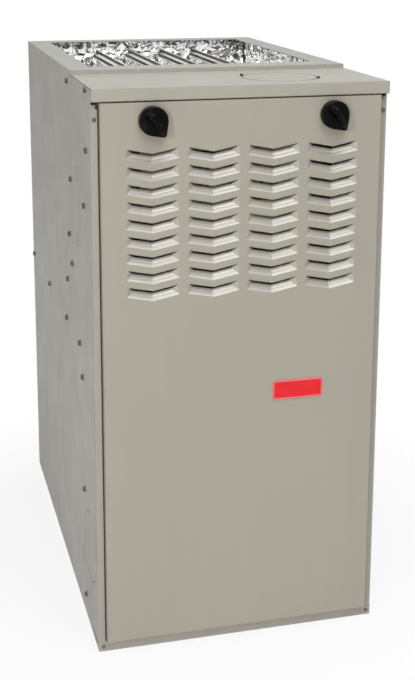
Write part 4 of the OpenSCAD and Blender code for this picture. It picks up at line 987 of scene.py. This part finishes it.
@dataclass
class Controls:
    """Switches, boxes, board and wiring."""

    front: float = -342.5
    shelf: float = 468.0
    wire_width: float = 2.7
    loom: Sequence[Point] = ((-196, 97, 248), (-196, 80, 246), (-196, 64, 228), (-196, 60, 150),
                             (-196, 60, 0), (-194, 68, -40), (-188, 92, -65), (-186, 100, -80),
                             (-186, 100, -93))
    leads: dict[str, tuple[str, Sequence[Point]]] = field(default_factory=lambda: {
        "yellow": ("#C9A92E", ((94.5, 173, 135), (92.5, 167, 146), (66, 150, 136), (36, 112, 121),
                               (-60, 104, 119), (-150, 96, 122), (-182, 72, 132), (-193, 62, 122))),
        "white": ("#D8D5CB", ((-94.5, 173, 133), (-98.5, 166, 146), (-132, 150, 142), (-172, 88, 122),
                              (-193, 63, 106))),
        "blue": ("#35588C", ((-157, 44, 153), (-168, 46, 159), (-182, 53, 151), (-192, 59, 138))),
        "brown": ("#6B4129", ((-157, 44, 147), (-169, 46, 152), (-183, 53, 145), (-192, 59, 130))),
    })
    bundle: tuple[str, ...] = ("#9C3A33", "#35588C", "#D8D5CB", "#2A2A2C", "#C9A92E", "#3F7A4A")
    bundle_radius: float = 2.75
    bundle_twist: float = 0.16
    smoothing: int = 6
    ties: tuple[int, ...] = (6, 14, 20, 26, 34, 42)
    tie: Profile = ((3.9, -1.2), (4.5, -1.2), (4.5, 1.2), (3.9, 1.2), (3.9, -1.2))
    tie_lock: Profile = ((2.0, 0), (2.0, 3.4), (0, 3.4))
    lock_at: Point = (0, 0.0042, -0.0017)
    hose_width: float = 6.8
    hose_tap: Point = (4, -3.6, -4.4)
    hose_port: Point = (-6, 3.6, 3.6)
    hose_sag: Point = (0, 1, -1.5)
    hose_ends: tuple[Point, Point] = ((-14, -1, 0.6), (14, 1.6, 0.4))
    clip: Profile = ((3.3, 0), (3.9, 0), (3.9, 2.6), (3.3, 2.6), (3.3, 0))
    pressure_rings: tuple[float, float, float] = (11.0, 20.5, 25.5)
    limit_plate: float = 10.0
    door_switch_foot: tuple[float, float, float] = (6.1, 7.95, 21.9)
    winding: float = 7.9
    core_foot: float = 2.1
    board_levels: tuple[float, float, float] = (7.9, 9.6, 9.7)
    board_rows: tuple[float, float, float] = (112.0, 200.0, 244.0)
    cans: tuple[Point, ...] = ((68, 160, 5), (84, 158, 4), (98, 162, 4))
    terminals: int = 9
    pins: Point = (20, 11, 116)
    pin: Point = (8, 0.8, 6)
    screws: Point = (18, 11.5, 103)
    screw: Profile = ((2.2, 0), (2.2, 1), (1.4, 1.4), (0, 1.4))
    screw_out: float = 10.4

    def build(self) -> None:
        """Dress the controls and lay the wires and the hose."""
        Shop.dress(Palette.black, "pressure_switch", "limit_switch")
        start, step, end = self.pressure_rings
        Shop.dress_parts("pressure_switch", (Palette.grey, lambda a, b, n: start < a.x < step),
                         (Palette.bracket, lambda a, b, n: step < a.x < end))
        Shop.dress_parts("limit_switch", (Palette.bracket, lambda a, b, n: a.y > self.limit_plate))
        Shop.dress(Palette.zinc, "junction_box", "switch_bracket")
        Shop.dress(Palette.white, "door_switch", "door_switch_plunger")
        foot, depth, drop = self.door_switch_foot
        Shop.dress_parts("door_switch", (
            Palette.bracket, lambda a, b, n: a.y > depth and b.z > drop or a.x < foot))
        self.board()
        Shop.dress(Palette.stack, "transformer")
        Shop.dress_parts("transformer", (Palette.tape, lambda a, b, n: b.z < self.winding),
                         (Palette.bracket, lambda a, b, n: a.x < self.core_foot))
        self.wiring()
        self.hose()

    def board(self) -> None:
        """Dress the board's plate, lacquer and parts, and add its small parts."""
        Shop.dress(Palette.board, "control_board")
        back, seat, face = self.board_levels
        plugs, relays, fuse = self.board_rows
        Shop.dress_parts(
            "control_board",
            (Palette.zinc, lambda a, b, n: a.x < back),
            (Palette.blue, lambda a, b, n: a.x > face and a.z > relays),
            (Palette.white, lambda a, b, n: a.x > face and a.z < plugs),
            (Palette.black, lambda a, b, n: a.x > face and (plugs < a.z < relays or a.z > fuse)))
        low = node_box("control_board")[0]
        seat += low.x
        cans = bmesh.new()
        for y, z, r in self.cans:
            Shop.turned(cans, [(r, 0), (r, 11), (r - 0.6, 12), (0, 12)],
                        facing(seat, low.y + y, low.z + z, RIGHT), 24)
        Shop.piece("board_capacitors", cans, Palette.black, "matte_black")
        posts = bmesh.new()
        for k in range(self.terminals):
            (pin_y, pin_z), (screw_y, screw_z) = (
                (low.y + first + k * pitch, low.z + up) for first, pitch, up in (self.pins, self.screws))
            long, wide, tall = self.pin
            Shop.pin(posts, (seat, pin_y, pin_z), (seat + long, pin_y + wide, pin_z + tall))
            Shop.turned(posts, self.screw, facing(seat + self.screw_out, screw_y, screw_z, RIGHT), 14)
        Shop.piece("board_terminals", posts, Palette.screw, "screw_steel")

    def world(self, points: Sequence[Point]) -> list[Vector]:
        """Give the frame's place of points measured behind the casing front and above the shelf."""
        return [Vector((x, self.front + back, self.shelf + up)) for x, back, up in points]

    def wiring(self) -> None:
        """Lay each lead, and the loom as a bundle of turned wires held by ties."""
        stands_for = ("wiring_harness",)
        for name, (colour, points) in self.leads.items():
            lead = Shop.strand("lead_" + name, self.world(points), self.wire_width)
            Shop.piece("lead_" + name, lead, Palette.wire(name, colour), "wire_cover", stands_for)
            stands_for = ()
        path = self.smooth(self.world(self.loom), self.smoothing)
        for k, colour in enumerate(self.bundle):
            turn = k * math.tau / len(self.bundle)
            points = [at + self.around(path, i, turn + i * self.bundle_twist) for i, at in enumerate(path)]
            name = f"loom_wire_{k + 1}"
            wire = Shop.strand(name, points, self.wire_width)
            Shop.piece(name, wire, Palette.wire(colour[1:], colour), "wire_cover")
        ties = bmesh.new()
        for i in self.ties:
            at = facing(*path[i], path[i + 1] - path[i - 1])
            Shop.turned(ties, self.tie, at, 20)
            Shop.turned(ties, self.tie_lock, at @ Matrix.Translation(self.lock_at), 4)
        Shop.piece("loom_ties", ties, Palette.black, "matte_black")

    @staticmethod
    def smooth(points: Sequence[Vector], steps: int) -> list[Vector]:
        """Put more points on a smooth curve through the given ones.

        Args:
            points: the given points.
            steps: how many points each stretch gets.

        Returns:
            All the points.
        """
        made = []
        for i in range(len(points) - 1):
            a, b, c, d = (points[min(max(j, 0), len(points) - 1)] for j in (i - 1, i, i + 1, i + 2))
            for k in range(steps):
                t = k / steps
                made.append(0.5 * (2 * b + t * (c - a) + t * t * (2 * a - 5 * b + 4 * c - d)
                                   + t ** 3 * (3 * b - a - 3 * c + d)))
        return made + [points[-1]]

    def around(self, path: Sequence[Vector], i: int, angle: float) -> Vector:
        """Give one wire's place out of the middle of the bundle.

        Args:
            path: the middle's points.
            i: the number of the point.
            angle: where the wire lies round it.

        Returns:
            The step from the point to the wire in millimetres.
        """
        along = (path[min(i + 1, len(path) - 1)] - path[max(i - 1, 0)]).normalized()
        side = along.cross(Vector(RIGHT)).normalized()
        return self.bundle_radius * (side * math.cos(angle) + along.cross(side) * math.sin(angle))

    def hose(self) -> None:
        """Lay the pressure hose from the inducer's tap to the pressure switch."""
        low, high = node_box("pressure_hose")
        start, end = high + Vector(self.hose_tap), low + Vector(self.hose_port)
        leave, arrive = (Vector(step) for step in self.hose_ends)
        points = [start, start + leave, (start + end) / 2 + Vector(self.hose_sag), end + arrive, end]
        Shop.piece("hose_curve", Shop.strand("hose_curve", points, self.hose_width), Palette.rubber,
                   "rubber_hose", ("pressure_hose",))
        clips = bmesh.new()
        for x, y, z in ((start.x - 3, start.y, start.z), (end.x + 3, end.y, end.z)):
            Shop.turned(clips, self.clip, facing(x, y, z, RIGHT), 24)
        Shop.piece("hose_clips", clips, Palette.bracket, "galvanised")


@dataclass
class BlowerBay:
    """Inner door, blower and its motor."""

    end_bells: tuple[float, float] = (13.0, 12.0)
    strap: tuple[float, float] = (29.9, 46.1)
    ring: Profile = ((13.4, -1.9), (13.4, 0.6), (12.4, 1.2), (10.2, 1.2), (9.4, 0.4), (9.4, 0.05),
                     (13.2, 0.05))

    def build(self) -> None:
        """Dress the blower parts."""
        Shop.dress(Palette.inner, "blower_panel")
        Shop.dress(Palette.glass, "sight_glass")
        Shop.dress(Palette.zinc, "blower_housing", "motor_mount")
        Shop.dress(Palette.bracket, "blower_wheel")
        Shop.dress(Palette.steel, "blower_shaft")
        Shop.dress(Palette.motor, "blower_motor")
        left, right = self.end_bells
        Shop.dress_parts("blower_motor", (Palette.zinc, lambda a, b, n: a.x < left or b.x < right))
        Shop.dress(Palette.cast, "motor_capacitor")
        bottom, top = self.strap
        Shop.dress_parts("motor_capacitor", (Palette.zinc, lambda a, b, n: bottom < a.z < top))
        self.glass_ring()

    def glass_ring(self) -> None:
        """Seat the sight glass in a rubber ring."""
        low, high = node_box("sight_glass")
        middle = (low + high) / 2
        mesh = bmesh.new()
        Shop.turned(mesh, self.ring, facing(middle.x, low.y, middle.z, FRONT), 40)
        Shop.piece("glass_ring", mesh, Palette.rubber, "rubber_hose")


@dataclass
class AirFilter:
    """Card frame and pleated cloth."""

    pitch: float = 16.0
    cloth: float = 1.2
    margin: float = 1.5
    crisp: float = 20.0

    def build(self) -> None:
        """Dress the frame and fold the cloth."""
        Shop.dress(Palette.card, "filter_frame")
        low, high = node_box("filter_media")
        count = 2 * round((high.y - low.y) / self.pitch)
        mesh = bmesh.new()
        rows = []
        for i in range(count + 1):
            y = low.y + (high.y - low.y) * i / count
            top = high.z - self.margin if i % 2 else low.z + self.margin
            rows.append([mesh.verts.new(Vector((x, y, z)) * MM) for x in (low.x, high.x)
                         for z in (top, top - self.cloth)])
        for a, b in zip(rows, rows[1:]):
            mesh.faces.new((a[0], a[2], b[2], b[0]))
            mesh.faces.new((a[1], b[1], b[3], a[3]))
            mesh.faces.new((a[0], b[0], b[1], a[1]))
            mesh.faces.new((a[2], a[3], b[3], b[2]))
        mesh.faces.new((rows[0][0], rows[0][1], rows[0][3], rows[0][2]))
        mesh.faces.new((rows[-1][0], rows[-1][2], rows[-1][3], rows[-1][1]))
        bmesh.ops.recalc_face_normals(mesh, faces=mesh.faces)
        Shop.piece("pleated_cloth", mesh, Palette.cloth, "filter_cloth", ("filter_media",), self.crisp)


# ---------- studio ----------

@dataclass(frozen=True)
class Lamp:
    """One soft lamp."""

    name: str
    place: Point
    size: float
    power: float
    colour: Point = (1.0, 0.99, 0.97)
    aim: Point = (0.0, 0.0, 0.45)

    def build(self) -> None:
        """Hang the lamp."""
        data = bpy.data.lights.new(self.name, "AREA")
        data.shape = "DISK"
        data.size = self.size
        data.energy = self.power
        data.color = self.colour
        made = bpy.data.objects.new(self.name, data)
        made.location = self.place
        made.rotation_mode = "QUATERNION"
        made.rotation_quaternion = (Vector(self.aim) - Vector(self.place)).to_track_quat("-Z", "Y")
        bpy.context.scene.collection.objects.link(made)


@dataclass
class Studio:
    """Pale floor, soft lamps and the photo's camera."""

    camera_place: Point = (-0.503, -2.047, 1.082)
    yaw: float = 14.81
    pitch: float = 12.32
    roll: float = -0.20
    focal_px: float = 1240.0
    long_side_px: float = 680.0
    sensor: float = 36.0
    shift: float = -0.2
    ambient: float = 0.24
    mirrored: float = 0.9
    floor_reach: float = 30.0
    floor_drop: float = 0.0006
    shadow: tuple[float, float, float] = (0.36, 0.68, 0.86)
    lamps: list[Lamp] = field(default_factory=lambda: [
        Lamp("key_lamp", (-2.5, -3.1, 1.75), 0.4, 36.0),
        Lamp("front_lamp", (-0.1, -3.1, 3.9), 2.0, 56.0, aim=(0.0, -0.3, 0.5)),
        Lamp("low_lamp", (-0.5, -1.65, 0.12), 0.9, 3.4, aim=(0.0, -0.3, 0.1)),
        Lamp("top_lamp", (0.4, -0.9, 3.9), 2.8, 62.0, (0.84, 0.94, 1.0), (0.0, -0.3, 0.8)),
    ])

    def build(self) -> None:
        """Set up the light, the floor and the camera."""
        bpy.context.scene.view_settings.view_transform = "Standard"
        for lamp in self.lamps:
            lamp.build()
        self.world()
        self.floor()
        self.camera()

    def seen(self, board: Board) -> Socket:
        """Give how white rays find the surroundings: fully if straight or through glass, less if mirrored.

        Args:
            board: the tree that asks.

        Returns:
            A share between 0 and 1.
        """
        rays = board.add("LightPath").outputs
        mirror = board.times(rays["Is Glossy Ray"], self.mirrored)
        first = board.math("MAXIMUM", rays["Is Camera Ray"], mirror)
        return board.math("MAXIMUM", first, rays["Is Transmission Ray"])

    def world(self) -> None:
        """Make a white backdrop that lights the object more softly than it looks."""
        world = bpy.data.worlds.new("studio")
        bpy.context.scene.world = world
        world.use_nodes = True
        board = Board(world.node_tree)
        dim = board.add("Background", {"Color": WHITE, "Strength": self.ambient})
        white = board.add("Background", {"Color": WHITE, "Strength": 1.0})
        mix = board.add("MixShader", {0: self.seen(board), 1: dim.outputs[0], 2: white.outputs[0]})
        board.feed(world.node_tree.nodes["World Output"].inputs[0], mix.outputs[0])

    def floor(self) -> None:
        """Lay a pale floor that keeps the object's shadow."""
        mesh = bmesh.new()
        bmesh.ops.create_grid(mesh, x_segments=8, y_segments=8, size=self.floor_reach)
        for vertex in mesh.verts:
            vertex.co.z = -self.floor_drop
        data = bpy.data.meshes.new("studio_floor")
        mesh.to_mesh(data)
        mesh.free()
        made = bpy.data.objects.new("studio_floor", data)
        bpy.context.scene.collection.objects.link(made)
        material = bpy.data.materials.new("pale_floor")
        material.use_nodes = True
        board = Board(material.node_tree)
        shader = material.node_tree.nodes["Principled BSDF"]
        grain = board.noise(3.0, 2.0, 0.5)
        pale = board.mix(grain, (0.80, 0.80, 0.79, 1.0), (0.83, 0.83, 0.82, 1.0))
        board.feed(shader.inputs["Base Color"], pale)
        shader.inputs["Roughness"].default_value = 0.9
        shader.inputs["Specular IOR Level"].default_value = 0.1
        glow = board.add("Emission", {"Color": WHITE, "Strength": 1.0})
        away = board.add("VectorMath", {0: board.place()}, operation="LENGTH").outputs["Value"]
        near, far, least = self.shadow
        share = board.times(self.seen(board), board.span(away, near, far, least, 1.0))
        mix = board.add("MixShader", {0: share, 1: shader.outputs[0], 2: glow.outputs[0]})
        board.feed(material.node_tree.nodes["Material Output"].inputs[0], mix.outputs[0])
        data.materials.append(material)

    def camera(self) -> None:
        """Place the camera where the photograph was taken from."""
        data = bpy.data.cameras.new("photo_view")
        data.sensor_width = self.sensor
        data.lens = self.sensor * self.focal_px / self.long_side_px
        data.shift_y = self.shift
        data.clip_start = 0.05
        data.clip_end = 200.0
        made = bpy.data.objects.new("photo_view", data)
        bpy.context.scene.collection.objects.link(made)
        yaw, pitch, roll = (math.radians(a) for a in (self.yaw, self.pitch, self.roll))
        ahead = Vector((math.sin(yaw) * math.cos(pitch), math.cos(yaw) * math.cos(pitch), -math.sin(pitch)))
        right = ahead.cross(Vector((0, 0, 1))).normalized()
        up = right.cross(ahead)
        turn = Matrix.Rotation(roll, 3, ahead)
        axes = Matrix((turn @ right, turn @ up, -(turn @ ahead))).transposed()
        made.matrix_world = Matrix.Translation(Vector(self.camera_place)) @ axes.to_4x4()
        bpy.context.scene.camera = made


def main() -> None:
    """Build the scene, sub-assembly by sub-assembly."""
    logging.basicConfig(level=logging.INFO, format="%(message)s")
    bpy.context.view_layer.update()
    Studio().build()
    known = {o.name for o in bpy.context.scene.objects}
    for make in (Cabinet, Door, Lining, HeatExchanger, FlueTrain, GasTrain, Controls, BlowerBay, AirFilter):
        make().build()
        fresh = sorted({o.name for o in bpy.context.scene.objects} - known)
        known.update(fresh)
        log.info("%s: %s", make.__name__, ", ".join(fresh) or "finishes only")


if __name__ == "__main__":
    main()
